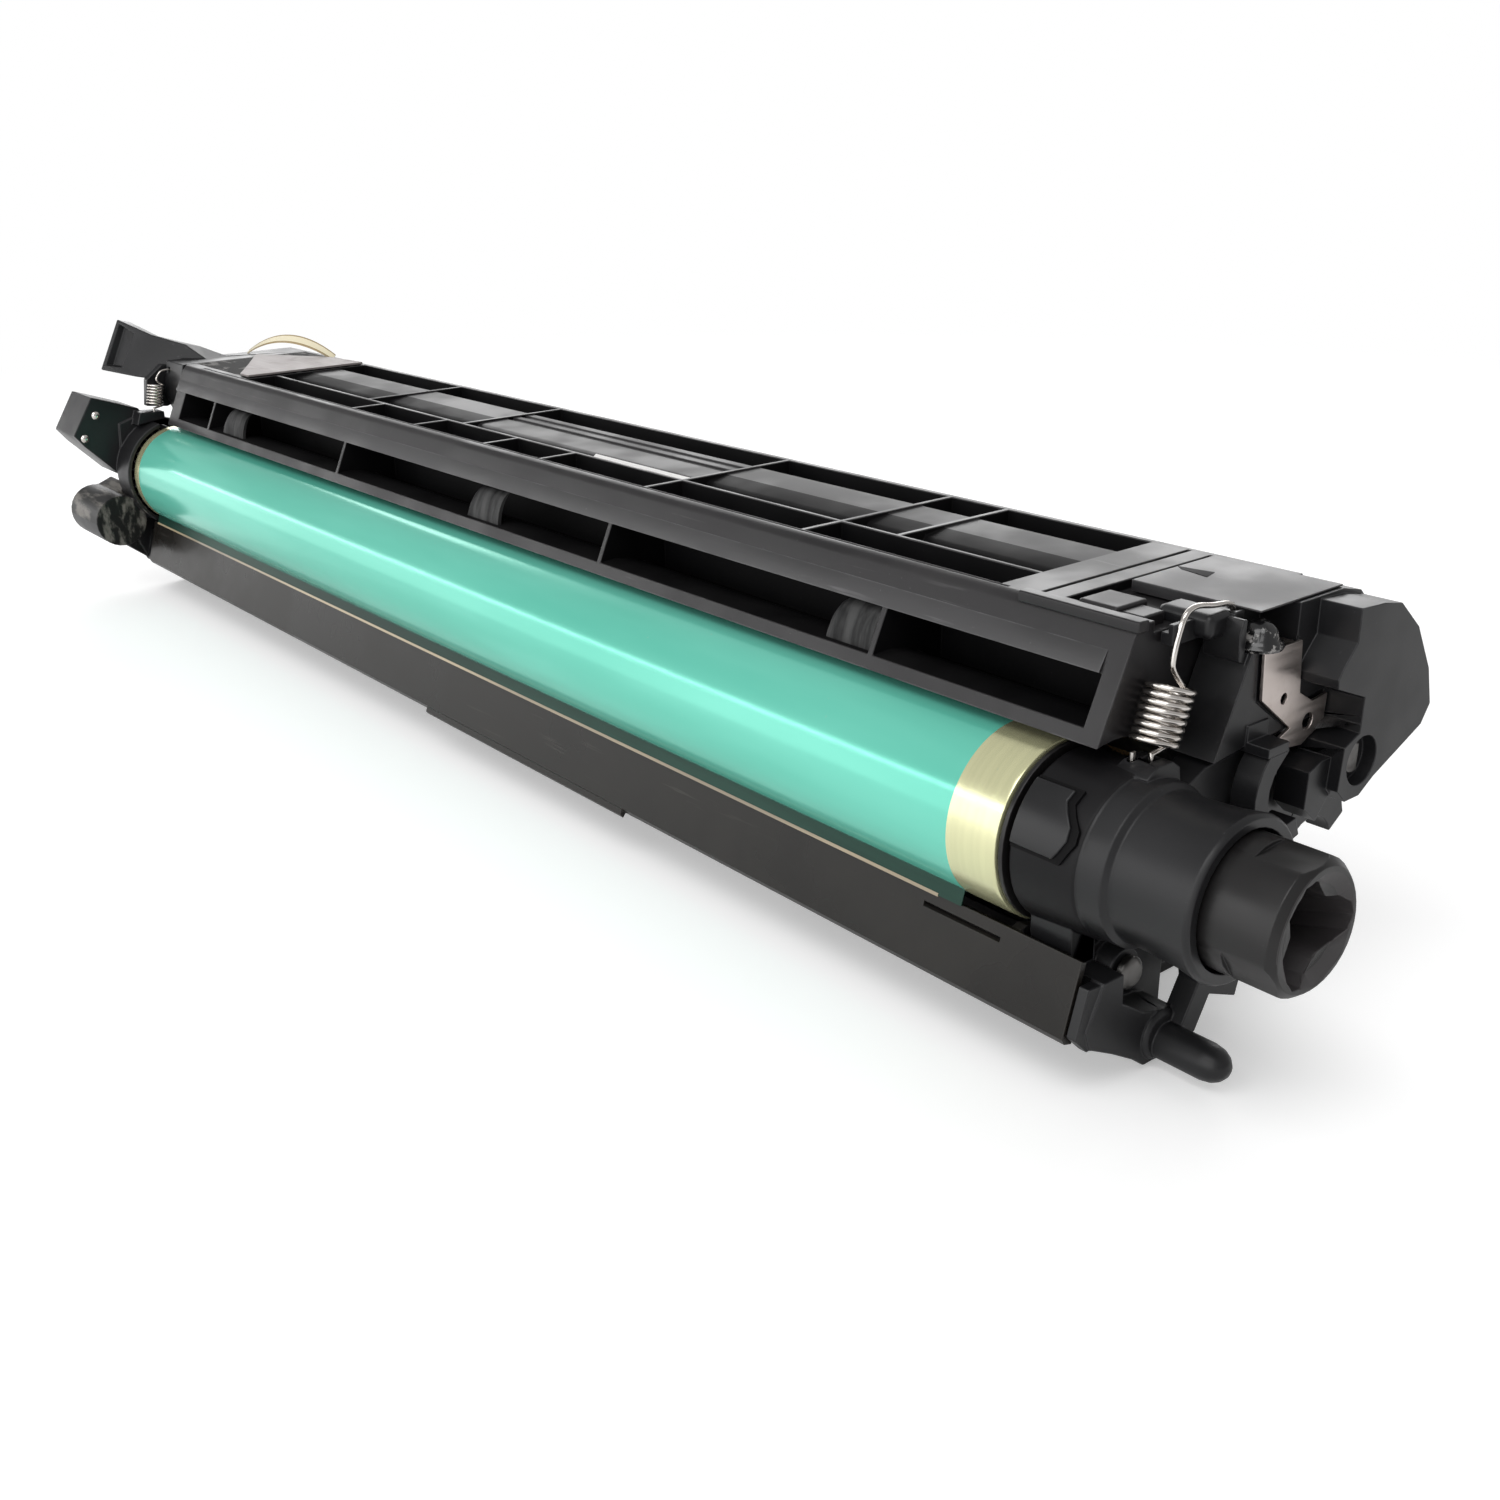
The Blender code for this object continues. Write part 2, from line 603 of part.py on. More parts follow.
def make_drive_end_bracket():
    """The moulded end that carries the drum's journal, the guide pin and the hinge ear."""
    sleeve = make_bearing_sleeve()
    lower = prism("lower_web", [(-8.6, -16.6), shield_line(10.8, 1.6), (-11.0, -28.0), (-5.0, -31.0),
                                (1.0, -34.6), (2.6, -AXIS_HEIGHT), (FOOT_BACK_Y, -AXIS_HEIGHT),
                                (FOOT_BACK_Y, -22.0), (11.5, -16.6)], 2.3, 12.6)
    neck = prism("hub_neck", [(-8.8, -8.0), (-8.8, -13.6), (-8.0, -17.4), (11.0, -17.4), (11.5, -8.0)],
                 HUB_START_X + 0.8, 12.35)
    foot = prism("foot_block", [(-8.2, -17.2), shield_line(10.6, 1.9), (-10.6, -27.6), (-4.8, -30.7),
                                (1.0, -34.2), (3.0, -35.9), (9.5, -35.9), (9.5, -27.6),
                                (2.0, -26.0), (-3.4, -22.4), (-3.6, -17.2)], 12.0, 18.6)
    lip = prism("foot_lip", [shield_line(3.6, 0.2), shield_line(SHIELD_DROP - 0.6, 0.2), (-10.6, -28.2),
                             (-9.0, -26.0), (-7.0, -17.6)], SHIELD_END_X + SEAT_GAP, 18.2)
    boss = cylinder("screw_boss", 12.0, 15.7, 3.6, BRACKET_SCREW, sides=18)
    step = turned("pin_step", [(12.0, 0), (12.0, 4.4), (18.9, 4.4), (19.5, 3.8), (19.5, 0)],
                  (6.2, -31.2), steps=18)
    pin = turned("guide_pin", [(15.0, 0), (15.0, GUIDE_PIN_RADIUS), (27.6, GUIDE_PIN_RADIUS)]
                 + [(27.6 + 3.9 * math.sin(math.radians(a)), GUIDE_PIN_RADIUS * math.cos(math.radians(a)))
                    for a in (25, 45, 65)] + [(31.5, 0)], GUIDE_PIN, steps=20)
    web = prism("pin_web", [(4.0, -9.0), (12.0, -8.5), (14.4, -21.6), (22.5, -25.6), (21.5, -29.2),
                            (14.4, -26.2), (11.4, -31.6), (7.5, -33.4), (7.5, -29.6), (11.2, -23.0),
                            (9.0, -14.0), (4.0, -12.5)], 17.7, 21.6)
    patch = hub_patch()
    lug = prism("spring_lug", [(-1.8, 9.6), (7.4, 8.8), (6.6, 13.4), (4.8, 14.6), (1.2, 14.6),
                               (-1.0, 13.2)], 12.2, 18.0)
    arm = prism("rear_arm", [(7.5, 9.8), (12.0, 11.9), (20.0, 12.5), (31.0, 12.7), (37.4, 11.0), (44.6, 8.2), (44.4, 4.0),
                             (40.0, 1.2), (33.0, -9.0), (22.0, -7.6), (9.0, -6.6)], 13.0, EAR_END_X - 0.2)
    ear = cylinder("hinge_ear", 12.8, EAR_END_X, EAR_RADIUS, (HINGE_Y, HINGE_Z))
    claw = prism("claw", arc(10.5, 172, 12, 13, (42.5, -9.5)) + arc(6.5, 20, 176, 11, (43.0, -12.0)),
                 14.0, EAR_END_X - 0.4)
    cuts = [
        cylinder("sleeve_bore", HUB_START_X - 1, SLEEVE_RIM_X + 1, SLEEVE_BORE, sides=40),
        cylinder("ear_hole", 12.0, CAP_LAYER_X + 1, HINGE_PIN_RADIUS + SEAT_GAP, (HINGE_Y, HINGE_Z)),
        cylinder("screw_hole", 7.0, 17.0, SCREW_HOLE, BRACKET_SCREW, sides=16),
        cylinder("boss_hole", 8.0, 17.0, 1.5, (-2.9, -13.4), sides=16),
        cylinder("lock_pin_hole", 9.5, 16.0, 0.8, LOCK_PIN, axis="Z", sides=12),
        box("spring_notch", (SPRING_X - 0.9, SPRING_EYE[0] - 1.0, 13.0),
            (SPRING_X + 0.9, SPRING_EYE[0] + 2.0, 16.0)),
    ]
    piece("drive_end_bracket", ROOT, BLACK_PLASTIC,
          [sleeve, lower, neck, foot, lip, boss, step, pin, web, patch, lug, arm, ear, claw], cuts)


def make_drive_bearing():
    """The bush that the drum's journal turns in."""
    inner = JOURNAL_RADIUS + RUNNING_GAP
    bush = turned("drive_bearing", [(BUSH_START_X, inner), (BUSH_START_X, BUSH_RADIUS),
                                    (BUSH_START_X + BUSH_LENGTH, BUSH_RADIUS),
                                    (BUSH_START_X + BUSH_LENGTH, inner)], steps=40, ring=True)
    piece("drive_bearing", ROOT, GREY_PLASTIC, [bush])


def make_pins_and_screws():
    """The small metal pieces of the carrier."""
    eye = wire("sleeve_lock_pin", [(LOCK_PIN[0], LOCK_PIN[1], 11.4),
                                   (LOCK_PIN[0], LOCK_PIN[1], 15.6)], 0.5)
    piece("sleeve_lock_pin", ROOT, STEEL, [eye])
    head = SHIELD_END_X + 0.1
    piece("bracket_screw", ROOT, STEEL, [screw("bracket_screw", head, head - 6.5, BRACKET_SCREW)])
    pin = cylinder("far_axle_pin", FAR_PLATE_X - 1.5, FAR + 14, FAR_PIN_RADIUS, sides=24)
    piece("far_axle_pin", ROOT, STEEL, [pin])


def screw(name, seat, tip, centre, axis="X"):
    """A pan-head screw with a cross recess, its head resting past the seat."""
    way = 1 if seat > tip else -1
    head = SCREW_HEAD_RADIUS
    profile = [(tip, 0), (tip, SCREW_RADIUS * 0.6), (tip + way * 1.2, SCREW_RADIUS), (seat, SCREW_RADIUS),
               (seat, head), (seat + way * 1.0, head), (seat + way * 1.8, head * 0.6), (seat + way * 1.8, 0)]
    return turned(name, profile, centre, axis, steps=16)


def frame_outline():
    """The cleaner frame's outer section, from the rail over the top to the lip under the blade."""
    crest = front(FRONT_HEIGHT)
    lip = [(BACK_Y, TOP_Z), (BACK_Y, BACK_FOOT_Z), (31.0, 10.0), (20.0, 1.0)]
    bar = [front(0), crest, (crest[0] + 0.8, TOP_Z - 0.5), (crest[0] + 1.6, TOP_Z)]
    return bar + lip + arc(FRAME_ARC, 3.4, FRONT_ANGLE - 5, 13)


def window_cutter(name, low, high):
    """The space behind one window, open through the slanted face."""
    top = front(RAIL_HEIGHT + WINDOW_HEIGHT)
    floor = FRAME_ARC + RAIL_WALL
    end = math.degrees(math.acos(WINDOW_BACK_Y / floor))
    outside = front(RAIL_HEIGHT, 3)
    outline = [outside] + arc(floor, 98, end, 6) + [(WINDOW_BACK_Y, top[1]), (outside[0] - 0.5, top[1])]
    return prism(name, outline, low, high)


def top_recess(name, low, high):
    """The open space over the second row, round the duct's crown and down the trench behind it."""
    shoulder = arc(DUCT_RADIUS, 165, 125, 5, DUCT_CENTRE) + [(26.4, 33.3)]
    if low < WIDE_CROWN_X < high:
        shoulder = [(19.0, 32.5), (20.0, 33.2), (27.6, 33.3), (27.9, 32.8), (29.3, 32.85),
                    (29.6, 33.34), (31.4, 33.36), (31.7, 32.9), (33.0, 32.95), (33.3, 33.38)]
    crown = [(35.2, 33.4), (36.8, 32.6), (CROWN_BACK_Y, 31.0), (CROWN_BACK_Y, POCKET_FLOOR_Z - 0.1)]
    trench = [(BACK_Y - 1.4, POCKET_FLOOR_Z - 0.1), (BACK_Y - 1.4, TOP_Z + 3)]
    start = POCKET_Y[1] + DIVIDER
    return prism(name, [(start, TOP_Z + 3), (start, POCKET_FLOOR_Z), (18.4, POCKET_FLOOR_Z)] + shoulder
                 + crown + trench, low, high)


def make_cleaner_frame():
    """The long hinged moulding: windows, lattice, duct ridge, blade slot and waste chamber."""
    body = prism("cleaner_frame", frame_outline(), FRAME_FAR_X, FRAME_START_X)
    far_end = FRAME_FAR_X + 7.0
    spaces = [window_cutter("window", low, high)
              for low, high in bays(7.4, far_end, WINDOW_RIBS, RIB_THICKNESS)]
    top_far = FAR + TOP_FAR_INSET
    top_near = CROSS_BAR_X[0]
    spaces += [box("pocket", (low, POCKET_Y[0], POCKET_FLOOR_Z), (high, POCKET_Y[1], TOP_Z + 3))
               for low, high in bays(top_near, top_far, POCKET_WALLS, RIB_THICKNESS)]
    spaces += [top_recess("recess", low, high)
               for low, high in bays(top_near, top_far, CROWN_WALLS, RIB_THICKNESS)]
    openings = as_one("windows_and_lattice", spaces)
    duct = cylinder("duct_bore", FRAME_FAR_X - 2, CROSS_BAR_X[1], DUCT_BORE, DUCT_CENTRE, sides=24)
    slot_back = HOLDER_Y + HOLDER_THICKNESS + SEAT_GAP
    slot_front = HOLDER_Y - BLADE_THICKNESS - SEAT_GAP
    chamber = prism("waste_chamber", [
        (slot_front, 25.3), (slot_front, 6.0), (13.4, 2.6), (20.2, 2.6), (30.6, 11.6), (43.2, 15.4),
        (43.2, 25.2), (35.2, 25.2), (34.6, 20.0), (30.0, 21.6), (22.4, 21.6), (slot_back + 1.5, 18.6),
        (slot_back + 1.5, 12.0), (slot_back, 12.0), (slot_back, 25.3)], FRAME_FAR_X + 3, 7.0)
    seat = box("cover_seat", (CROSS_BAR_X[1] + 0.5, 7.4, TOP_Z - COVER_THICKNESS - SEAT_GAP),
               (FRAME_START_X + 2, 43.2, TOP_Z + 3))
    shaft_hole = cylinder("shaft_hole", CROSS_BAR_X[1] - 3, CROSS_BAR_X[1] + 9,
                          AUGER_SHAFT_RADIUS + RUNNING_GAP, DUCT_CENTRE, sides=20)
    holes = as_one("blade_screw_holes", [
        cylinder("blade_hole", HOLDER_Y, slot_back + 4, SCREW_HOLE, (x, -BLADE_SCREW_Z), "Y", 12)
        for x in blade_screw_places()])
    piece("cleaner_frame", HINGE_AXIS, BLACK_PLASTIC, [body],
          [openings, duct, chamber, seat, shaft_hole, holes])


def blade_screw_places():
    """Where the blade holder's screws are, along X."""
    return (FRAME_FAR_X + BLADE_SCREW_INSET, -BLADE_SCREW_INSET)


def make_blade():
    """The steel holder with the rubber blade under it, and its screws."""
    back = HOLDER_Y + HOLDER_THICKNESS
    low, high = FRAME_FAR_X + 4, 6.0
    holder = prism("blade_holder", [(HOLDER_Y, 11.0), (back, 11.0), (back, 25.0), (HOLDER_Y, 25.0)],
                   low, high)
    holes = as_one("holder_holes", [
        cylinder("holder_hole", HOLDER_Y - 1, back + 1, SCREW_HOLE, (x, -BLADE_SCREW_Z), "Y", 12)
        for x in blade_screw_places()])
    piece("blade_holder", HINGE_AXIS, STEEL, [holder], [holes])
    front_y = HOLDER_Y - SEAT_GAP
    blade = prism("cleaning_blade", [(front_y, 15.5), (front_y, 8.2), (front_y - 0.5, 6.4),
                                     (front_y - BLADE_THICKNESS + 0.3, 6.2),
                                     (front_y - BLADE_THICKNESS + 0.3, 15.5)], low, high)
    piece("cleaning_blade", HINGE_AXIS, BLADE_RUBBER, [blade])
    for index, x in enumerate(blade_screw_places(), start=1):
        seat = HOLDER_Y - SEAT_GAP
        part = turned("blade_screw", [(seat - 1.2, 0), (seat - 1.2, 2.2), (seat, 2.4), (seat, SCREW_RADIUS),
                                      (seat + 5, SCREW_RADIUS), (seat + 5, 0)],
                      (x, -BLADE_SCREW_Z), "Y", steps=16)
        piece(f"blade_screw_{index}", HINGE_AXIS, STEEL, [part])


def make_waste_screw():
    """The helical screw in the duct and the gear that turns it."""
    near = CROSS_BAR_X[1] + 6
    far = GEAR_FAR_X + 0.6
    low, high = FRAME_FAR_X + 2, CROSS_BAR_X[1] - 2
    turns = int((high - low) / AUGER_PITCH)
    sections = []
    for i in range(turns * AUGER_STEPS + 1):
        angle = 360.0 * i / AUGER_STEPS
        x = low + AUGER_PITCH * i / AUGER_STEPS
        inner = polar(AUGER_SHAFT_RADIUS * 0.6, angle)
        outer = polar(AUGER_RADIUS, angle)
        sections.append([(x, *inner), (x, *outer), (x + FLIGHT_THICKNESS, *outer),
                         (x + FLIGHT_THICKNESS, *inner)])
    moved = [[(x, y + DUCT_CENTRE[0], z + DUCT_CENTRE[1]) for x, y, z in s] for s in sections]
    flight = loft("auger_flight", moved)
    shaft = cylinder("waste_auger", far, near, AUGER_SHAFT_RADIUS, DUCT_CENTRE, sides=8)
    piece("waste_auger", AUGER_AXIS, GREY_PLASTIC, [shaft, flight])

    first = bearing_of((0, 0), IDLER_CENTRE)
    second = bearing_of(IDLER_CENTRE, DUCT_CENTRE)
    idler_phase = mesh_phase(first, DRUM_TEETH, first, IDLER_TEETH)
    auger_phase = mesh_phase(idler_phase, IDLER_TEETH, second, AUGER_TEETH)
    low, high = GEAR_FAR_X + 0.4, GEAR_NEAR_X - 0.4
    gear = prism("auger_gear", shifted(gear_outline(AUGER_TEETH, auger_phase), DUCT_CENTRE), low, high)
    hole = cylinder("auger_gear_bore", low - 1, high + 1, AUGER_SHAFT_RADIUS + SEAT_GAP, DUCT_CENTRE)
    piece("auger_gear", AUGER_AXIS, GEAR_PLASTIC, [gear], [hole])
    gear = prism("idler_gear", shifted(gear_outline(IDLER_TEETH, idler_phase), IDLER_CENTRE), low, high)
    hole = cylinder("idler_bore", low - 1, high + 1, AUGER_SHAFT_RADIUS + RUNNING_GAP, IDLER_CENTRE)
    piece("idler_gear", IDLER_AXIS, GEAR_PLASTIC, [gear], [hole])
    pin = cylinder("idler_pin", CAP_PLATE_X - 1.4, GEAR_NEAR_X + 1.4, AUGER_SHAFT_RADIUS, IDLER_CENTRE,
                   sides=20)
    piece("idler_pin", HINGE_AXIS, STEEL, [pin])


def make_drive_end_cap():
    """The moulded cap over the frame's drive end: spring block, hinge plate and contact saddle."""
    start = FRAME_START_X + SEAT_GAP
    block = prism("drive_end_cap", [(12.0, 12.8), (19.2, 28.6), (19.2, TOP_Z), (BACK_Y - 2.8, TOP_Z),
                                    (47.0, 32.6), (53.0, 27.0), (58.0, 19.0), (59.4, 14.6), (19.0, 13.6)],
                  start, CAP_LAYER_X)
    plate = prism("hinge_plate", [(35.6, 33.4), (42.0, 33.0), (47.0, 32.0), (53.0, 27.0), (58.0, 19.0),
                                  (CAP_BACK_Y, 12.6), (58.0, 9.5), (45.4, 4.0), (41.5, 1.6), (37.5, 1.6),
                                  (35.0, 4.0), (35.6, 12.0), (39.5, 14.0), (39.5, 18.5), (30.6, 22.0),
                                  (33.0, 25.2), (35.6, 28.0)], HINGE_PLATE_X, CAP_FACE_X)
    ring = prism("contact_ring", arc(9.5, 105, 292, 14, (27.0, 6.0)) + arc(6.0, 292, 105, 10, (27.0, 6.0)),
                 19.6, 24.0)
    root = box("ring_root", (18.6, 19.4, 12.8), (24.2, 24.6, 17.0))
    saddle = prism("saddle", [(29.8, 8.0), (33.0, 9.2), (36.4, 9.0), (36.8, 3.4), (33.0, -1.0),
                              (29.5, 2.0)], CAP_LAYER_X - 0.6, 25.0)
    peg = prism("spring_peg", [(17.0, 27.2), (20.2, 26.0), (20.4, TOP_Z - 0.6), (17.4, TOP_Z - 0.2),
                               (16.6, TOP_Z - 2.4)], 12.8, 19.2)
    shelf = box("pocket_shelf", (start + 0.05, 8.4, 30.2), (13.6, 20.4, TOP_Z - 0.4))
    cuts = [
        turned("pin_counterbore", [(CAP_FACE_X + 1, 0), (CAP_FACE_X + 1, 4.1), (CAP_FACE_X - 2.4, 4.1),
                                   (CAP_FACE_X - 2.4, 0)], (HINGE_Y, HINGE_Z), steps=28),
        cylinder("pin_hole", CAP_LAYER_X - 2, CAP_FACE_X, HINGE_PIN_RADIUS + SEAT_GAP, (HINGE_Y, HINGE_Z)),
        box("screw_seat", (13.2, 21.4, 27.6 - SEAT_GAP), (CAP_LAYER_X + 5, 30.4, TOP_Z + 3)),
        box("spring_hook_slot", (SPRING_X - 0.9, 20.1, 29.4), (SPRING_X + 0.9, 22.5, TOP_Z + 3)),
        box("cover_seat_end", (start - 1, 7.0, TOP_Z - COVER_THICKNESS - SEAT_GAP),
            (12.6, 43.2, TOP_Z + 3)),
        cylinder("contact_hole", 20.0, 29.0, SCREW_HOLE, CONTACT_SCREW, "Z", 12),
        prism("plate_window", grown(PLATE_OUTLINE, SEAT_GAP + 0.1), CAP_LAYER_X - 0.1, CAP_FACE_X + 1),
    ]
    piece("drive_end_cap", HINGE_AXIS, BLACK_PLASTIC,
          [block, plate, ring, root, saddle, peg, shelf], cuts)
    pin = cylinder("drive_hinge_pin", 12.9, CAP_FACE_X - 1.4, HINGE_PIN_RADIUS, (HINGE_Y, HINGE_Z), sides=24)
    flat = box("pin_flat", (CAP_FACE_X - 4.4, HINGE_Y + 1.2, HINGE_Z - 5), (CAP_FACE_X, HINGE_Y + 5, HINGE_Z + 5))
    piece("drive_hinge_pin", HINGE_AXIS, STEEL, [pin], [flat])


def make_contact_plate():
    """The pressed contact plate, its bent tab and the screw that holds it."""
    low = CAP_LAYER_X + SEAT_GAP
    sheet = prism("contact_plate", PLATE_OUTLINE, low, low + 0.6,
                  holes=(arc(0.9, 0, 330, 12, (27.2, 19.6)), arc(1.4, 0, 330, 12, (34.4, 14.2))))
    tab = box("plate_tab", (13.8, 21.9, 27.6), (low + 0.4, 29.6, 28.15))
    hole = cylinder("tab_hole", 26.0, 30.0, SCREW_HOLE, CONTACT_SCREW, "Z", 12)
    piece("contact_plate", HINGE_AXIS, CONTACT_METAL, [sheet, tab], [hole])
    head = turned("contact_screw", [(21.0, 0), (21.0, SCREW_RADIUS), (28.5, SCREW_RADIUS), (28.5, 3.2),
                                    (29.3, 3.2), (29.3, 2.2), (31.0, 2.0), (31.6, 1.2), (31.6, 0)],
                  CONTACT_SCREW, "Z", steps=16)
    slot = box("contact_screw_slot", (CONTACT_SCREW[0] - 4, CONTACT_SCREW[1] - 0.3, 30.8),
               (CONTACT_SCREW[0] + 4, CONTACT_SCREW[1] + 0.3, 33.0))
    piece("contact_screw", HINGE_AXIS, STEEL, [head], [slot])


def make_top_pieces():
    """The cover by the drive end, the plate and film at the far end, and the window clips."""
    cover = box("top_cover", (CROSS_BAR_X[1] + 0.8, 7.8, TOP_Z - COVER_THICKNESS), (12.2, 42.8, TOP_Z), 0.3)
    piece("top_cover", HINGE_AXIS, GREY_PLASTIC, [cover])
    low = TOP_Z + SEAT_GAP
    plate = prism("far_top_plate", [(FRAME_FAR_X, 27.0), (FRAME_FAR_X + 24, 41.0), (FRAME_FAR_X + 41.5, 43.0),
                                    (FRAME_FAR_X + 41.5, 6.8), (FRAME_FAR_X + 36, 6.8),
                                    (FRAME_FAR_X + 20, 16.0)], low, low + 0.6, "Z")
    piece("far_top_plate", HINGE_AXIS, PLATE_METAL, [plate])
    ends = [Vector((FAR - 7, 30.0, TOP_Z + 0.5)), Vector((FAR + 12, 37.4, TOP_Z + 9.5)),
            Vector((FAR + 24, 44.4, TOP_Z + 0.5))]
    sections = []
    steps = 14
    for i in range(steps + 1):
        t = i / steps
        place = ends[0] * (1 - t) ** 2 + ends[1] * 2 * t * (1 - t) + ends[2] * t**2
        x, y, z = place
        sections.append([(x, y, z), (x + 1.2, y - 2.6, z), (x + 1.2, y - 2.6, z + 0.35), (x, y, z + 0.35)])
    piece("top_film", HINGE_AXIS, CREAM_FILM, [loft("top_film", sections)])
    floor = FRAME_ARC + RAIL_WALL + SEAT_GAP
    top = front(RAIL_HEIGHT + WINDOW_HEIGHT)
    for index, (start, width) in enumerate(WINDOW_CLIPS, start=1):
        outline = arc(floor, 92, 79, 4) + [(6.4, 22.6), (5.4, top[1] - SEAT_GAP - 0.2),
                                           (top[0] + 1.6, top[1] - SEAT_GAP - 0.2)]
        outline += [(top[0] + 0.2, 25.0), (top[0] - 0.6, 23.4), (top[0] - 0.9, 21.4)]
        piece(f"window_clip_{index}", HINGE_AXIS, GREY_PLASTIC,
              [prism("window_clip", outline, start, start + width)])


def spring_coil(name, low, high, radius, wire_radius, turns, tails, steps=9, resolution=1):
    """A coil between two points, with the tails' points before and after it."""
    axis = (high - low).normalized()
    side = axis.cross(Vector((1, 0, 0))).normalized()
    other = axis.cross(side)
    points = [Vector(p) for p in tails[0]]
    for i in range(turns * steps + 1):
        angle = 2 * math.pi * i / steps
        along = low + (high - low) * i / (turns * steps)
        points.append(along + (side * math.cos(angle) + other * math.sin(angle)) * radius)
    points += [Vector(p) for p in tails[1]]
    return wire(name, points, wire_radius, resolution)


def make_tension_springs():
    """The springs at both ends that hold the cleaner frame shut against the carrier."""
    low = Vector((SPRING_X, SPRING_EYE[0] + 0.6, SPRING_EYE[1] + 4.0))
    high = Vector((SPRING_X, 7.0, 25.0))
    first = [(SPRING_X, SPRING_EYE[0] + 0.5, SPRING_EYE[1] + 0.7), (SPRING_X, SPRING_EYE[0] + 0.4, low.z - 0.9)]
    peg_y = 17.0
    last = [(SPRING_X - 0.2, 7.6, 26.4), (SPRING_X - 0.4, 10.4, 29.0), (SPRING_X - 0.2, 13.6, 32.4),
            (SPRING_X, peg_y - 1.0, TOP_Z + 0.6), (SPRING_X, peg_y + 3.2, TOP_Z + 0.8),
            (SPRING_X, peg_y + 4.6, TOP_Z - 0.8), (SPRING_X, peg_y + 4.6, TOP_Z - 3.4)]
    coil = spring_coil("drive_tension_spring", low, high, SPRING_RADIUS, SPRING_WIRE, SPRING_TURNS,
                       (first, last))
    piece("drive_tension_spring", HINGE_AXIS, STEEL, [coil])
    x = FAR_SPRING_X
    low = Vector((x, FAR_EYE[0] + 0.4, FAR_EYE[1] + 1.4))
    high = Vector((x, -1.9, 27.2))
    first = [(x, FAR_EYE[0], FAR_EYE[1] - 2.2), (x, FAR_EYE[0], FAR_EYE[1] + 0.4)]
    last = [(x, -1.4, 28.4), (x, -0.4, 30.4), (x, 1.2, 31.2), (x, 4.2, 31.2)]
    coil = spring_coil("far_tension_spring", low, high, 2.2, 0.35, 7, (first, last))
    piece("far_tension_spring", HINGE_AXIS, STEEL, [coil])


def tray_outline():
    """The lower housing's shell section, from the shield's back under the rollers to the rear wall."""
    inner = TRAY_WALL
    back = SHIELD_THICKNESS + SEAT_GAP
    outer = [shield_line(0.6, back), shield_line(11.4, back), (2.0, -AXIS_HEIGHT),
             (TRAY_BACK_Y, -AXIS_HEIGHT), (TRAY_BACK_Y, TRAY_BACK_Z)]
    inside = [(TRAY_BACK_Y - inner, TRAY_BACK_Z), (TRAY_BACK_Y - inner, -AXIS_HEIGHT + inner),
              (2.7, -AXIS_HEIGHT + inner), shield_line(10.6, back + inner), shield_line(0.8, back + inner)]
    return outer + inside


def make_lower_housing():
    """The tray under the drum that holds the charge roller and its cleaner."""
    far = FAR + 0.4
    shell = prism("lower_housing", tray_outline(), far, DRUM_NEAR_X)
    wall = [(shield_line(1.2, 2.2)), shield_line(10.8, 2.4), (2.4, -AXIS_HEIGHT + 0.8),
            (TRAY_BACK_Y - 1, -AXIS_HEIGHT + 0.8), (TRAY_BACK_Y - 1, -12.0), (22.0, -12.0), (14.0, -8.6),
            (8.0, -9.0)]
    near_wall = prism("near_wall", wall, DRUM_NEAR_X - 2.2, DRUM_NEAR_X - 0.1)
    far_wall = prism("far_wall", wall, far + 0.1, far + 2.2)
    rib = [(25.0, -AXIS_HEIGHT + 1), (TRAY_BACK_Y - 1, -AXIS_HEIGHT + 1), (TRAY_BACK_Y - 1, -8.0),
           (TRAY_BACK_Y - 4, -20.0), (25.0, -32.0)]
    count = 6
    span = DRUM_NEAR_X - far
    ribs = as_one("tray_ribs", [prism("tray_rib", rib, far + span * i / count - 0.8,
                                      far + span * i / count + 0.8) for i in range(1, count)])
    cuts = [
        cylinder("drum_clearance", far - 1, DRUM_NEAR_X + 1, DRUM_RADIUS + 1.0, sides=48),
        as_one("charge_shaft_holes", [
            cylinder("shaft_hole", low, low + 4, CHARGE_SHAFT_RADIUS + 0.6, CHARGE_CENTRE, sides=24)
            for low in (far - 1, DRUM_NEAR_X - 3)]),
        as_one("foam_shaft_holes", [
            cylinder("foam_hole", low, low + 4, FOAM_SHAFT_RADIUS + RUNNING_GAP, FOAM_CENTRE, sides=20)
            for low in (far - 1, DRUM_NEAR_X - 3)]),
    ]
    piece("lower_housing", ROOT, BLACK_PLASTIC, [shell, near_wall, far_wall, ribs], cuts)


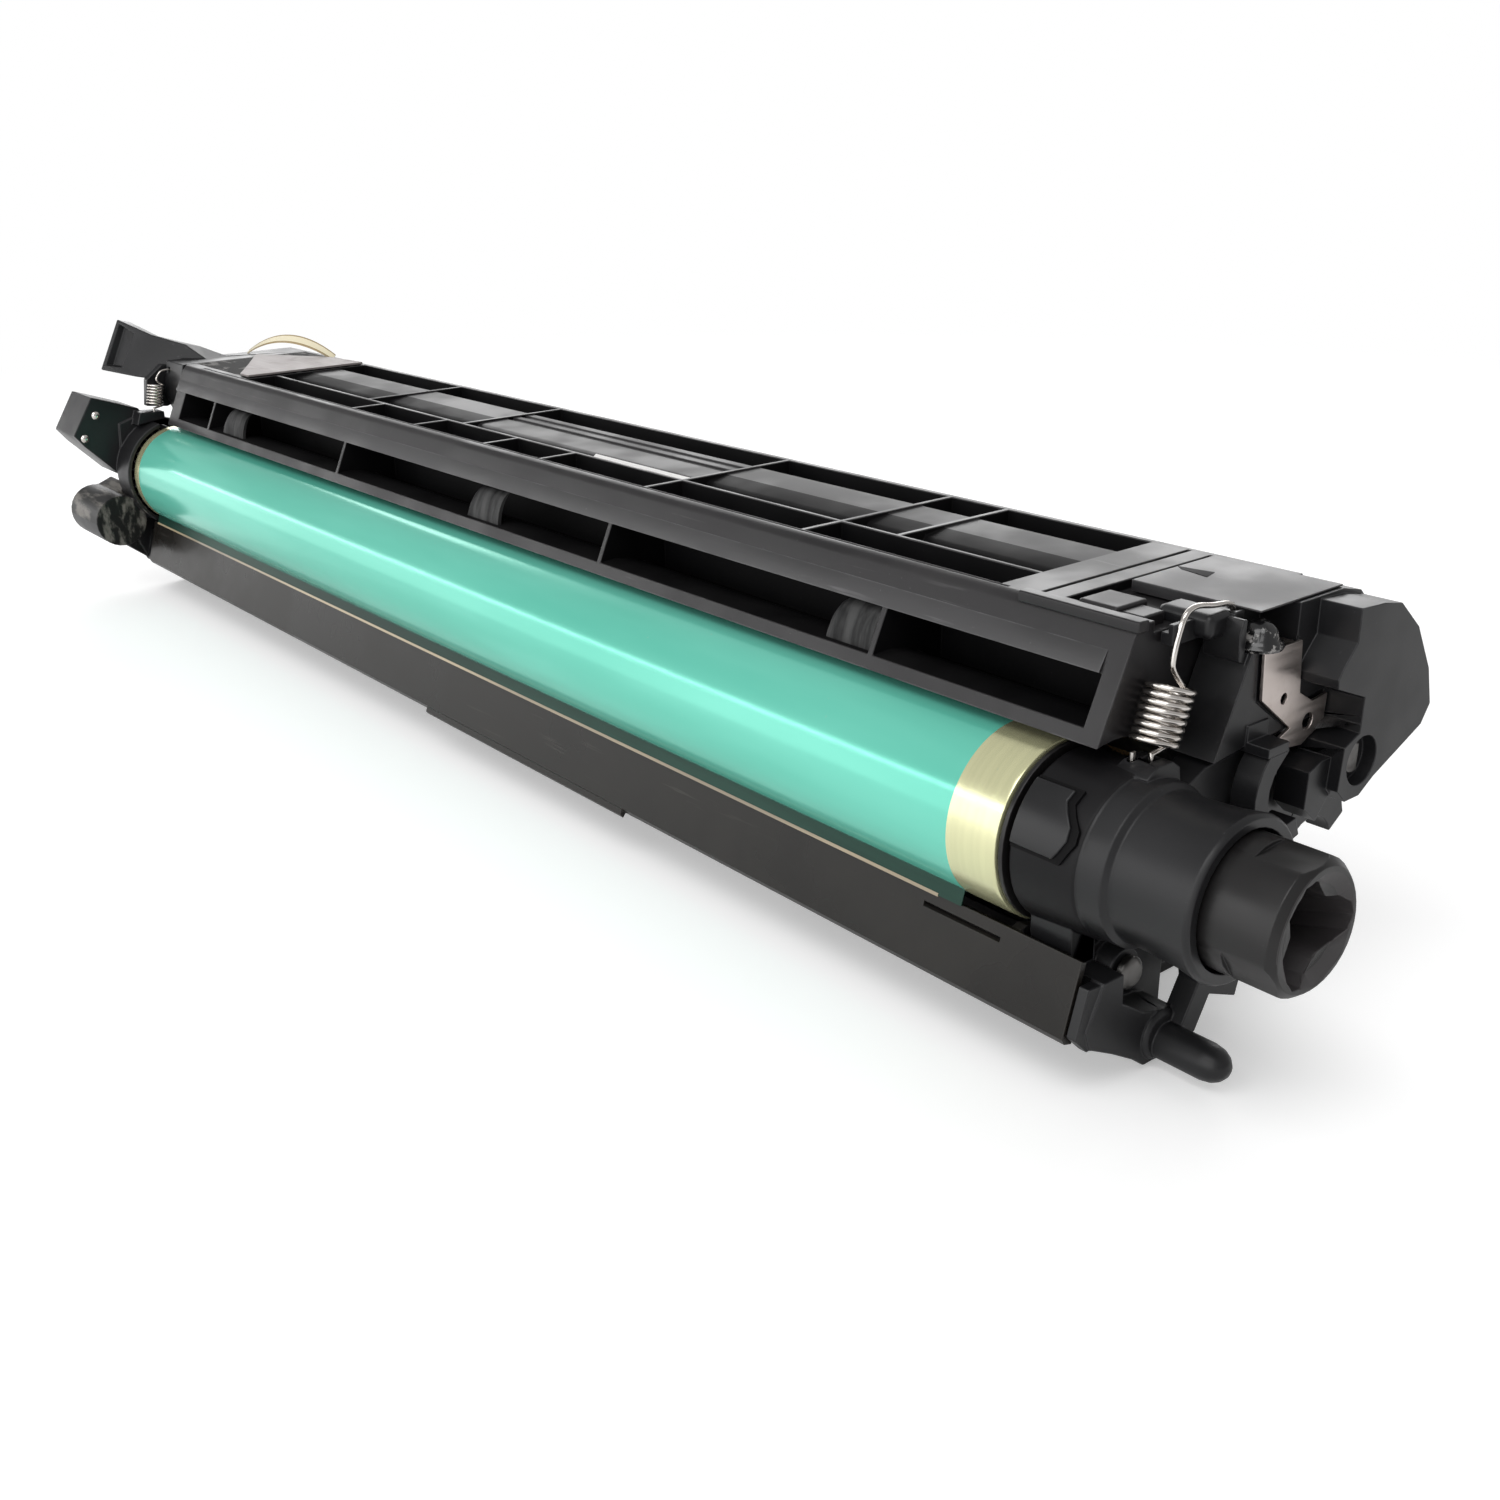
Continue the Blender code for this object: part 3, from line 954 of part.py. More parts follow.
def make_shield():
    """The glossy front shield with its lower lip, and the film along its top edge."""
    far = FAR - 1.0
    drop = SHIELD_DROP
    thick = SHIELD_THICKNESS
    plate = prism("lower_shield", [shield_line(0), shield_line(drop), shield_line(drop + 0.9, 0.9),
                                   shield_line(drop + 0.9, 2.6), shield_line(drop - 0.2, 2.4),
                                   shield_line(drop - 0.5, thick), shield_line(0.2, thick)],
                  far, SHIELD_END_X)
    lip = prism("shield_lip", [shield_line(drop - 1.0, 0.4), shield_line(drop + 1.6, 0.3),
                               shield_line(drop + 2.2, 1.2), shield_line(drop + 0.2, 2.0)], -178.0, -98.0)
    slot = box("shield_slot", (-16.0, -16.0, -16.5), (0.5, -5.0, -15.7))
    piece("lower_shield", ROOT, GLOSS_BLACK, [plate, lip], [slot])
    out = -SEAT_GAP
    film = prism("shield_film", [shield_line(-0.8, out), shield_line(FILM_WIDTH, out),
                                 shield_line(FILM_WIDTH, out - FILM_THICKNESS),
                                 shield_line(-0.8, out - FILM_THICKNESS)], far + 4, -2.0)
    piece("shield_film", ROOT, CLEAR_FILM, [film])


def make_charge_rollers():
    """The charge roller in its sprung bearings and the foam roller that wipes it."""
    near = DRUM_NEAR_X - 2.6
    far = FAR + 3.1
    shaft = cylinder("charge_shaft", far - 2.4, near + 2.2, CHARGE_SHAFT_RADIUS, CHARGE_CENTRE, sides=24)
    piece("charge_shaft", CHARGE_AXIS, STEEL, [shaft])
    inner = CHARGE_SHAFT_RADIUS + SEAT_GAP
    rubber = turned("charge_rubber", [(far + 8, inner), (near - 8, inner), (near - 8, CHARGE_RADIUS),
                                      (far + 8, CHARGE_RADIUS)], CHARGE_CENTRE, steps=32, ring=True)
    piece("charge_rubber", CHARGE_AXIS, ROLLER_RUBBER, [rubber])
    foam_shaft = cylinder("foam_shaft", far - 2.2, near + 2.0, FOAM_SHAFT_RADIUS, FOAM_CENTRE, sides=20)
    piece("foam_shaft", FOAM_AXIS, STEEL, [foam_shaft])
    inner = FOAM_SHAFT_RADIUS + SEAT_GAP
    foam = turned("cleaning_foam", [(far + 9, inner), (near - 9, inner), (near - 9, FOAM_RADIUS),
                                    (far + 9, FOAM_RADIUS)], FOAM_CENTRE, steps=28, ring=True)
    piece("cleaning_foam", FOAM_AXIS, FOAM, [foam])
    y, z = CHARGE_CENTRE
    for end, low in (("drive", near - 4.6), ("far", far + 0.2)):
        block = box("charge_bearing", (low, y - 4.6, z - 4.8), (low + 4.4, y + 4.6, z + 4.4), 0.6)
        bore = cylinder("charge_bore", low - 1, low + 6, CHARGE_SHAFT_RADIUS + RUNNING_GAP,
                        CHARGE_CENTRE, sides=24)
        piece(f"{end}_charge_bearing", ROOT, GREY_PLASTIC, [block], [bore])
        place = (low + 2.2, y - 1.8)
        foot = Vector((*place, -AXIS_HEIGHT + TRAY_WALL + SEAT_GAP + PRESS_SPRING_WIRE))
        head = Vector((*place, z - 4.8 - SEAT_GAP - PRESS_SPRING_WIRE))
        coil = spring_coil("charge_spring", foot, head, PRESS_SPRING_RADIUS - PRESS_SPRING_WIRE,
                           PRESS_SPRING_WIRE, PRESS_SPRING_TURNS, ((), ()), 7)
        piece(f"{end}_charge_spring", ROOT, STEEL, [coil])


def make_far_end_bracket():
    """The moulded end that carries the drum's far pin, with its pointed block and rounded boss."""
    plate = prism("far_end_bracket", [(-14.0, -20.0), (-15.5, -2.0), (-14.0, 16.0), (-6.0, 18.5), (8.0, 14.0),
                                      (20.0, 8.0), (36.0, 9.0), (44.0, 4.0), (38.0, 0.6), (22.0, -8.0),
                                      (16.0, -AXIS_HEIGHT + 4), (14.0, -AXIS_HEIGHT), (0.0, -AXIS_HEIGHT),
                                      (-11.0, -28.0)], FAR_PLATE_X - 3.2, FAR_PLATE_X)
    point = prism("pointed_block", [(-21.0, 25.0), (-7.0, 20.0), (-5.6, 6.0), (-15.6, 0.0), (-25.0, 10.0),
                                    (FRONT_TIP_Y, 14.0)], FAR - 28, FAR_PLATE_X - 0.6)
    boss = turned("rounded_boss", [(FAR - 28, 0), (FAR - 28, 6.2), (FAR - 26.4, 7.8), (FAR - 2.0, 7.8),
                                   (FAR - 2.0, 0)], (-20.2, -12.4), steps=28)
    web = prism("boss_web", [(-22.0, -6.4), (-13.6, -3.0), (-11.0, -27.4), (-20.4, -19.6)],
                FAR - 27, FAR_PLATE_X - 0.4)
    bridge = prism("housing_bridge", [(-9.0, -18.0), (-11.6, -27.0), (0.4, -35.6), (13.4, -35.6),
                                      (10.0, -20.0)], FAR_PLATE_X - 1, FAR - 0.2)
    ear = cylinder("far_ear", FAR_PLATE_X - 3.6, FAR_PLATE_X + 0.3, EAR_RADIUS, (HINGE_Y, HINGE_Z))
    hub = cylinder("far_hub", FAR_PLATE_X - 4.4, FAR_PLATE_X + 1.0, 7.0)
    inner = GEAR_MODULE * (DRUM_TEETH / 2 + TOOTH_TIP_HEIGHT) + RUNNING_GAP + 0.2
    shroud = prism("gear_shroud", arc(inner + SHROUD_WALL, *SHROUD_SPAN, 16) + arc(inner, *SHROUD_SPAN[::-1], 16),
                   FAR_PLATE_X - 0.6, FAR - 0.2)
    eye = prism("far_eye_lug", [(-10.0, 15.6), (-1.0, 16.7), (-1.0, 18.9), (-8.6, 19.4)], FAR_PLATE_X - 2.4,
                FAR_SPRING_X + 1.6)
    cuts = [
        cylinder("far_pin_seat", FAR_PLATE_X - 1.8, FAR_PLATE_X + 3, FAR_PIN_RADIUS + SEAT_GAP, sides=24),
        cylinder("far_ear_hole", FAR_PLATE_X - 5, FAR_PLATE_X + 2, HINGE_PIN_RADIUS + SEAT_GAP,
                 (HINGE_Y, HINGE_Z), sides=24),
        cylinder("contact_pin_hole_1", FAR - 30, FAR - 22, 1.3, CONTACT_PINS[0], sides=16),
        cylinder("contact_pin_hole_2", FAR - 30, FAR - 22, 1.3, CONTACT_PINS[1], sides=16),
        box("far_eye_hole", (FAR_SPRING_X - 0.7, FAR_EYE[0] - 0.7, 16.0),
            (FAR_SPRING_X + 0.7, FAR_EYE[0] + 0.7, 20.0)),
    ]
    piece("far_end_bracket", ROOT, BLACK_PLASTIC, [plate, point, boss, web, bridge, ear, hub, shroud, eye], cuts)
    for index, place in enumerate(CONTACT_PINS, start=1):
        pin = turned("far_contact_pin", [(FAR - 28.9, 0), (FAR - 28.9, 0.7), (FAR - 28.4, 1.0),
                                         (FAR - 22.4, 1.0), (FAR - 22.4, 0)], place, steps=16)
        piece(f"far_contact_pin_{index}", ROOT, STEEL, [pin])


def arm_section(x, corners):
    """One section of the far cap's arm."""
    return [(FAR + x, y, z) for y, z in corners]


def make_far_end_cap():
    """The cup over the gears at the frame's far end, with the hollow arm that reaches forward."""
    wall = 1.6
    near = FRAME_FAR_X - SEAT_GAP
    clear = FRAME_ARC + 1.1
    outline = [(3.4, TOP_Z), (BACK_Y, TOP_Z), (BACK_Y, 13.0), (34.0, 6.0), (24.0, 3.0)]
    cup = prism("far_end_cap", outline + arc(clear, 10, 79, 8) + [(1.2, 24.0)], CAP_PLATE_X - wall, near)
    inside = [(5.0, TOP_Z - 1.0), (BACK_Y - wall, TOP_Z - 1.0), (BACK_Y - wall, 14.2), (33.4, 7.7),
              (24.4, 4.7)]
    hollow = prism("cup_hollow", inside + arc(clear + wall, 12, 76, 7) + [(3.4, 24.0)], CAP_PLATE_X,
                   near - 1.2)
    mouth = cylinder("gear_mouth", GEAR_FAR_X - 0.8, near - 1.2, GEAR_MODULE * IDLER_TEETH / 2 + 1.6,
                     IDLER_CENTRE, sides=32)
    lug = cylinder("cap_ear", FAR_PLATE_X + 0.6, GEAR_FAR_X + 3, EAR_RADIUS, (HINGE_Y, HINGE_Z))
    arm = loft("cap_arm", [arm_section(-2, [(12.0, 27.4), (18.0, 25.0), (22.0, TOP_Z - 0.4), (14.0, TOP_Z - 0.4)]),
                           arm_section(-9, [(5.0, 27.0), (11.0, 26.0), (15.5, 36.8), (10.0, 38.0)]),
                           arm_section(-18, [(-4.0, 28.6), (1.6, 27.2), (8.0, 38.6), (3.6, 40.6)]),
                           arm_section(FAR_TIP_OFFSET, [(-10.0, 30.0), (-4.4, 28.4), (1.4, 44.0), (-2.4, 45.0)])])
    pocket = loft("arm_pocket", [arm_section(-24.5, [(-9.0, 31.4), (-3.2, 30.6), (2.0, 39.8), (-3.0, 42.9)]),
                                 arm_section(FAR_TIP_OFFSET + 1.2, [(-12.0, 31.8), (-6.2, 31.0), (-0.6, 42.6),
                                                                   (-6.0, 45.8)])])
    cuts = [
        hollow, mouth, pocket,
        cylinder("idler_pin_hole", CAP_PLATE_X - 3, near + 1, AUGER_SHAFT_RADIUS + SEAT_GAP, IDLER_CENTRE,
                 sides=20),
        box("far_hook_hole", (FAR_SPRING_X - 0.8, -1.0, 30.4), (FAR_SPRING_X + 0.8, 7.0, 32.0)),
        cylinder("duct_passage", near - 2, near + 2, DUCT_BORE, DUCT_CENTRE, sides=24),
        cylinder("cap_ear_hole", FAR_PLATE_X, GEAR_FAR_X + 4, HINGE_PIN_RADIUS + SEAT_GAP,
                 (HINGE_Y, HINGE_Z), sides=24),
    ]
    piece("far_end_cap", HINGE_AXIS, BLACK_PLASTIC, [cup, lug, arm], cuts)
    pin = cylinder("far_hinge_pin", FAR_PLATE_X - 3.4, GEAR_FAR_X + 2.6, HINGE_PIN_RADIUS,
                   (HINGE_Y, HINGE_Z), sides=24)
    piece("far_hinge_pin", HINGE_AXIS, STEEL, [pin])


def main():
    """Build every piece."""
    make_drum()
    make_drive_bearing()
    make_drive_end_bracket()
    make_pins_and_screws()
    make_lower_housing()
    make_shield()
    make_charge_rollers()
    make_far_end_bracket()
    make_cleaner_frame()
    make_blade()
    make_waste_screw()
    make_drive_end_cap()
    make_contact_plate()
    make_top_pieces()
    make_tension_springs()
    make_far_end_cap()


main()
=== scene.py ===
"""The looks of a laser printer drum unit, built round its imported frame.

Sizes are in millimetres from the drum's axis, X towards the drive end, Y back and Z up, as the
frame was drawn. The shop turns them into metres in the frame's own place.
"""

import json
import logging
import math
from dataclasses import dataclass
from enum import Enum
from typing import Callable, Iterable, Sequence

import bmesh
import bpy
from bpy.types import Material, Node, NodeSocket, NodeTree, Object, Scene
from mathutils import Matrix, Vector


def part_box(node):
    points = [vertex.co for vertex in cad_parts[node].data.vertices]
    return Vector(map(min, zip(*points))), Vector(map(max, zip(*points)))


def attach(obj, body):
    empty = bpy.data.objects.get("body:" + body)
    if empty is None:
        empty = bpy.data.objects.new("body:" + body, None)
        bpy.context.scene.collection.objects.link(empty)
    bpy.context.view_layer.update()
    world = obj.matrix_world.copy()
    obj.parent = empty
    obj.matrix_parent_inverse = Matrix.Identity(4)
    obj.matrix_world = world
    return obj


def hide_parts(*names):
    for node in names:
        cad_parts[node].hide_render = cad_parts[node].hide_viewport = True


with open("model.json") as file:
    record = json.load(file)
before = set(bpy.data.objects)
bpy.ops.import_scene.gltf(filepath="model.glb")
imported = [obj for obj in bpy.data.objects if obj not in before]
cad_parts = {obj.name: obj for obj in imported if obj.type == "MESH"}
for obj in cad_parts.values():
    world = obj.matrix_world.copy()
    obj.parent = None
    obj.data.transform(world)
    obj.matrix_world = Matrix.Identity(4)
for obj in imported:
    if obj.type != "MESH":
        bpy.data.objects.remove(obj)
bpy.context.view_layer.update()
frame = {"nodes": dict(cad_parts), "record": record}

LOG = logging.getLogger("drum_unit")
MM = 0.001
EDGE_FACETS = 2
WIRE_FACETS = 2
FLAT_DEGREES = 1.0
CAD_WELD = 2e-5
WIRE_WELD = 1e-6
Colour = tuple[float, float, float]
Point = tuple[float, float, float]
Flat = tuple[float, float]

DRUM_NEAR_X = 2.0
DRUM_LOW, DRUM_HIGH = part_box("drum_tube")
DRUM_LENGTH = (DRUM_HIGH.x - DRUM_LOW.x) / MM
DRUM_RADIUS = (DRUM_HIGH.z - DRUM_LOW.z) / 2 / MM
FAR_X = DRUM_NEAR_X - DRUM_LENGTH
BAND_X = DRUM_NEAR_X - 10.0
AXIS_PLACE = Vector((DRUM_HIGH.x - DRUM_NEAR_X * MM, (DRUM_LOW.y + DRUM_HIGH.y) / 2,
                     (DRUM_LOW.z + DRUM_HIGH.z) / 2))


def place(x: float, y: float, z: float) -> Vector:
    """The frame's point for millimetres from the drum's axis."""
    return AXIS_PLACE + Vector((x, y, z)) * MM


def polar(radius: float, degrees: float) -> Flat:
    """The (y, z) point at a radius and an angle about the drum's axis."""
    angle = math.radians(degrees)
    return radius * math.cos(angle), radius * math.sin(angle)


def toned(colour: Colour, factor: float) -> Colour:
    """A colour made darker or lighter."""
    return tuple(min(1.0, factor * c) for c in colour)


class Axis(Enum):
    """The directions that a turned or extruded shape can run along."""

    X = Matrix(((0, 0, 1), (1, 0, 0), (0, 1, 0)))
    Y = Matrix(((1, 0, 0), (0, 0, 1), (0, -1, 0)))
    Z = Matrix(((1, 0, 0), (0, 1, 0), (0, 0, 1)))


class Graph:
    """A node tree with short calls to add nodes and join them."""

    def __init__(self, tree: NodeTree) -> None:
        """Keep the tree to build in."""
        self.tree = tree

    def add(self, kind: str, inputs: dict | None = None, **settings: object) -> Node:
        """Add one node.

        Args:
            kind: Blender's type name without ShaderNode.
            inputs: socket name or number to a value or to an output socket.
            settings: attributes of the node.

        Returns:
            The new node.
        """
        node = self.tree.nodes.new(f"ShaderNode{kind}")
        for name, value in settings.items():
            setattr(node, name, value)
        self.feed(node, inputs or {})
        return node

    def feed(self, node: Node, inputs: dict) -> None:
        """Give a node's inputs their values, or join them to output sockets.

        Args:
            node: the node.
            inputs: socket name or number to a value or to an output socket.
        """
        for key, value in inputs.items():
            if isinstance(value, NodeSocket):
                self.tree.links.new(value, node.inputs[key])
            else:
                node.inputs[key].default_value = value

    def math(self, operation: str, first: object, second: object = 0.0,
             clamp: bool = False) -> NodeSocket:
        """The result of a Math node on two values or sockets."""
        return self.add("Math", {0: first, 1: second}, operation=operation, use_clamp=clamp).outputs[0]

    def between(self, value: object, low: float, high: float, new_low: float = 0.0,
                new_high: float = 1.0) -> NodeSocket:
        """A value mapped smoothly from one range to another, and held inside it."""
        return self.add("MapRange", {"Value": value, "From Min": low, "From Max": high, "To Min": new_low,
                                     "To Max": new_high}, interpolation_type="SMOOTHSTEP").outputs["Result"]

    def blend(self, factor: object, first: object, second: object) -> NodeSocket:
        """Two colours mixed by a factor.

        Args:
            factor: a number or socket, 0 for all of the first colour.
            first: a colour or socket.
            second: a colour or socket.

        Returns:
            The socket of the mixed colour.
        """
        first, second = (value if isinstance(value, NodeSocket) else (*value, 1.0)
                         for value in (first, second))
        return self.add("Mix", {0: factor, 6: first, 7: second}, data_type="RGBA").outputs[2]

    def mixed(self, factor: object, first: object, second: object) -> NodeSocket:
        """Two numbers mixed by a factor."""
        return self.add("Mix", {0: factor, 2: first, 3: second}).outputs[0]

    def noise(self, vector: object, scale: object, detail: float = 2.0,
              rough: float = 0.5) -> NodeSocket:
        """A noise value over the surface."""
        return self.add("TexNoise", {"Vector": vector, "Scale": scale, "Detail": detail,
                                     "Roughness": rough}).outputs["Fac"]

    def bump(self, strength: float, distance: float, height: object) -> NodeSocket:
        """A normal that is tilted by a height over the surface."""
        return self.add("Bump", {"Strength": strength, "Distance": distance,
                                 "Height": height}).outputs["Normal"]

    def spot(self) -> NodeSocket:
        """The surface's place in the piece's own space."""
        return self.add("TexCoord").outputs["Object"]

    def stretched(self, scale: Point) -> NodeSocket:
        """The surface's place, scaled unevenly to draw a pattern out along an axis."""
        return self.add("Mapping", {"Vector": self.spot(), "Scale": scale}).outputs["Vector"]


class Effects:
    """The shared node groups, each built once."""

    def __init__(self) -> None:
        """Start with nothing built."""
        self.made: dict[str, NodeTree] = {}

    def group(self, name: str, sockets: dict[str, float], outputs: Sequence[str],
              fill: Callable[[Graph, dict, dict], None]) -> NodeTree:
        """A node group with float inputs and outputs.

        Args:
            name: the group's name.
            sockets: each input with its default.
            outputs: the outputs' names.
            fill: builds the inside from the graph, the input sockets and the output sockets.

        Returns:
            The node group.
        """
        if name in self.made:
            return self.made[name]
        tree = bpy.data.node_groups.new(name, "ShaderNodeTree")
        for socket, value in sockets.items():
            item = tree.interface.new_socket(socket, in_out="INPUT", socket_type="NodeSocketFloat")
            item.default_value = value
        for socket in outputs:
            tree.interface.new_socket(socket, in_out="OUTPUT", socket_type="NodeSocketFloat")
        start = tree.nodes.new("NodeGroupInput")
        end = tree.nodes.new("NodeGroupOutput")
        graph = Graph(tree)
        results: dict[str, NodeSocket] = {}
        fill(graph, {key: start.outputs[key] for key in sockets}, results)
        for key in outputs:
            tree.links.new(results[key], end.inputs[key])
        self.made[name] = tree
        return tree

    def grain(self) -> NodeTree:
        """The fine spark-eroded texture of a moulding, and its slow change of tone."""
        def fill(graph: Graph, given: dict, results: dict) -> None:
            """Lay fine noise over broad noise."""
            spot = graph.spot()
            fine = graph.noise(spot, given["Scale"], 3.0, 0.6)
            broad = graph.noise(spot, graph.math("MULTIPLY", given["Scale"], 0.02), 3.0, 0.55)
            results["Height"] = fine
            results["Tone"] = graph.between(broad, 0.3, 0.7)
        return self.group("moulded_grain", {"Scale": 2200.0}, ("Height", "Tone"), fill)

    def edge_wear(self) -> NodeTree:
        """Where edges are rubbed pale, broken up by noise."""
        def fill(graph: Graph, given: dict, results: dict) -> None:
            """Compare the rounded normal with the true one."""
            rounded = graph.add("Bevel", {"Radius": given["Reach"]}, samples=4).outputs["Normal"]
            true = graph.add("NewGeometry").outputs["Normal"]
            facing = graph.add("VectorMath", {0: rounded, 1: true}, operation="DOT_PRODUCT").outputs["Value"]
            edge = graph.between(facing, 0.995, 0.86)
            patches = graph.between(graph.noise(graph.spot(), 160.0, 4.0, 0.6), 0.35, 0.62)
            results["Mask"] = graph.math("MULTIPLY", graph.math("MULTIPLY", edge, patches), given["Amount"])
        return self.group("edge_wear", {"Reach": 0.0004, "Amount": 0.6}, ("Mask",), fill)

    def scuffs(self) -> NodeTree:
        """Thin marks drawn out along the unit, and scattered specks."""
        def fill(graph: Graph, given: dict, results: dict) -> None:
            """Cut thin crests out of stretched noise."""
            drawn = graph.noise(graph.stretched((12.0, 260.0, 260.0)), 3.0, 4.0, 0.6)
            lines = graph.between(drawn, 0.62, 0.7)
            areas = graph.between(graph.noise(graph.spot(), 28.0, 3.0), 0.5, 0.68)
            specks = graph.between(graph.noise(graph.spot(), 1400.0, 2.0), 0.72, 0.78)
            both = graph.math("MAXIMUM", graph.math("MULTIPLY", lines, areas),
                              graph.math("MULTIPLY", specks, 0.5))
            results["Mask"] = graph.math("MULTIPLY", both, given["Amount"])
        return self.group("scuffs", {"Amount": 0.5}, ("Mask",), fill)

    def dust(self) -> NodeTree:
        """Pale dust that lies on what faces up."""
        def fill(graph: Graph, given: dict, results: dict) -> None:
            """Take the upward part of the normal, patched by noise."""
            normal = graph.add("NewGeometry").outputs["Normal"]
            upward = graph.add("SeparateXYZ", {"Vector": normal}).outputs["Z"]
            patches = graph.between(graph.noise(graph.spot(), 60.0, 5.0, 0.65), 0.35, 0.75)
            lying = graph.math("MULTIPLY", graph.between(upward, 0.3, 1.0), patches)
            results["Mask"] = graph.math("MULTIPLY", lying, given["Amount"])
        return self.group("settled_dust", {"Amount": 0.2}, ("Mask",), fill)


EFFECTS = Effects()
DUST_TONE = (0.09, 0.086, 0.084)


@dataclass(frozen=True)
class Finish:
    """What every finish has: a name, and a way to start its material."""

    name: str

    def start(self) -> tuple[Material, Graph, Node]:
        """A new material with its graph and its shader.

        Returns:
            The material, its graph and its shader node.
        """
        material = bpy.data.materials.new(self.name)
        material.use_nodes = True
        shader = material.node_tree.nodes["Principled BSDF"]
        return material, Graph(material.node_tree), shader

    def made(self) -> Material:
        """The material, built the first time it is asked for."""
        return bpy.data.materials.get(self.name) or self.build()

    def build(self) -> Material:
        """Build the material; each kind of finish has its own way."""
        raise NotImplementedError


@dataclass(frozen=True)
class MouldedPlastic(Finish):
    """A satin or glossy moulding with grain, worn edges, scuffs and a little dust."""

    colour: Colour
    worn: Colour
    roughness: float = 0.42
    grain: float = 0.12
    wear: float = 0.6
    scuff: float = 0.5
    dust: float = 0.15
    coat: float = 0.0
    gloss: float = 0.5

    def build(self) -> Material:
        """Layer tone, wear, scuffs and dust over the colour.

        Returns:
            The new material.
        """
        material, graph, shader = self.start()
        grain = graph.add("Group", node_tree=EFFECTS.grain())
        shares = {EFFECTS.edge_wear(): self.wear, EFFECTS.scuffs(): self.scuff, EFFECTS.dust(): self.dust}
        edge, marks, lying = (graph.add("Group", {"Amount": share}, node_tree=tree).outputs["Mask"]
                              for tree, share in shares.items())
        base = graph.blend(grain.outputs["Tone"], toned(self.colour, 0.8), toned(self.colour, 1.25))
        base = graph.blend(lying, base, DUST_TONE)
        rough = graph.between(grain.outputs["Tone"], 0.0, 1.0, self.roughness - 0.06, self.roughness + 0.08)
        graph.feed(shader, {
            "Base Color": graph.blend(graph.math("MAXIMUM", edge, marks), base, self.worn),
            "Roughness": graph.math("ADD", rough, graph.math("MULTIPLY", lying, 0.3), clamp=True),
            "Normal": graph.bump(self.grain, 0.00006, grain.outputs["Height"]),
            "Coat Weight": self.coat,
            "Coat Roughness": 0.08,
            "Specular IOR Level": self.gloss,
        })
        return material


@dataclass(frozen=True)
class DrumCoating(Finish):
    """The thin green layer on the tube, with bare metal at its drive end and at its far rim."""

    deep: Colour
    bright: Colour
    bare: Colour
    speck: Colour
    band_start: float
    rim_end: float

    def build(self) -> Material:
        """Split the tube along X into the rim, the coating and the bare band.

        Returns:
            The new material.
        """
        material, graph, shader = self.start()
        along = graph.add("SeparateXYZ", {"Vector": graph.spot()}).outputs["X"]
        bare = graph.math("GREATER_THAN", along, place(self.band_start, 0, 0).x)
        edge = graph.math("LESS_THAN", along, place(self.rim_end, 0, 0).x)
        clear = graph.math("MAXIMUM", bare, edge)
        clouds = graph.between(graph.noise(graph.stretched((4.0, 30.0, 30.0)), 2.2, 3.0), 0.3, 0.7)
        green = graph.blend(clouds, self.deep, self.bright)
        rings = graph.between(graph.noise(graph.stretched((900.0, 2.0, 2.0)), 1.0, 2.0), 0.3, 0.7)
        metal = graph.blend(rings, toned(self.bare, 0.93), self.bare)
        specks = graph.between(graph.noise(graph.spot(), 900.0, 2.0), 0.76, 0.8, 0.0, 0.35)
        graph.feed(shader, {
            "Base Color": graph.blend(specks, graph.blend(clear, green, metal), self.speck),
            "Roughness": graph.mixed(clear, 0.17, 0.24),
            "Metallic": graph.mixed(clear, 0.28, 0.75),
            "Coat Weight": 0.05,
            "Coat Roughness": 0.06,
        })
        return material


@dataclass(frozen=True)
class Metal(Finish):
    """Plated wire, a pressed sheet or a turned pin, with fine drawn marks and a little tarnish."""

    colour: Colour
    tarnish: Colour
    roughness: float = 0.22
    metallic: float = 1.0
    drawn: Point = (40.0, 900.0, 900.0)
    stain: float = 0.5

    def build(self) -> Material:
        """Draw marks along the piece and stain it in patches.

        Returns:
            The new material.
        """
        material, graph, shader = self.start()
        marks = graph.noise(graph.stretched(self.drawn), 1.0, 3.0, 0.6)
        patches = graph.between(graph.noise(graph.spot(), 220.0, 4.0, 0.6), 0.5, 0.75, 0.0, self.stain)
        base = graph.blend(marks, toned(self.colour, 0.85), self.colour)
        rough = graph.between(marks, 0.2, 0.8, self.roughness - 0.07, self.roughness + 0.1)
        graph.feed(shader, {
            "Base Color": graph.blend(patches, base, self.tarnish),
            "Roughness": graph.math("ADD", rough, graph.math("MULTIPLY", patches, 0.25), clamp=True),
            "Normal": graph.bump(0.08, 0.00003, marks),
            "Metallic": self.metallic,
        })
        return material


@dataclass(frozen=True)
class SoftRubber(Finish):
    """Rubber or foam: matt, with pores of its own size."""

    colour: Colour
    pore: float = 1800.0
    depth: float = 0.3
    roughness: float = 0.8

    def build(self) -> Material:
        """Pit the surface with cells and darken them.

        Returns:
            The new material.
        """
        material, graph, shader = self.start()
        cells = graph.add("TexVoronoi", {"Vector": graph.spot(), "Scale": self.pore}).outputs["Distance"]
        clouds = graph.noise(graph.spot(), self.pore * 0.05, 3.0)
        base = graph.blend(graph.between(cells, 0.0, 0.6), toned(self.colour, 0.45), self.colour)
        patches = graph.between(clouds, 0.45, 0.8, 0.0, 0.4)
        graph.feed(shader, {
            "Base Color": graph.blend(patches, base, toned(self.colour, 0.7)),
            "Normal": graph.bump(self.depth, 0.0001, cells),
            "Roughness": self.roughness,
        })
        return material


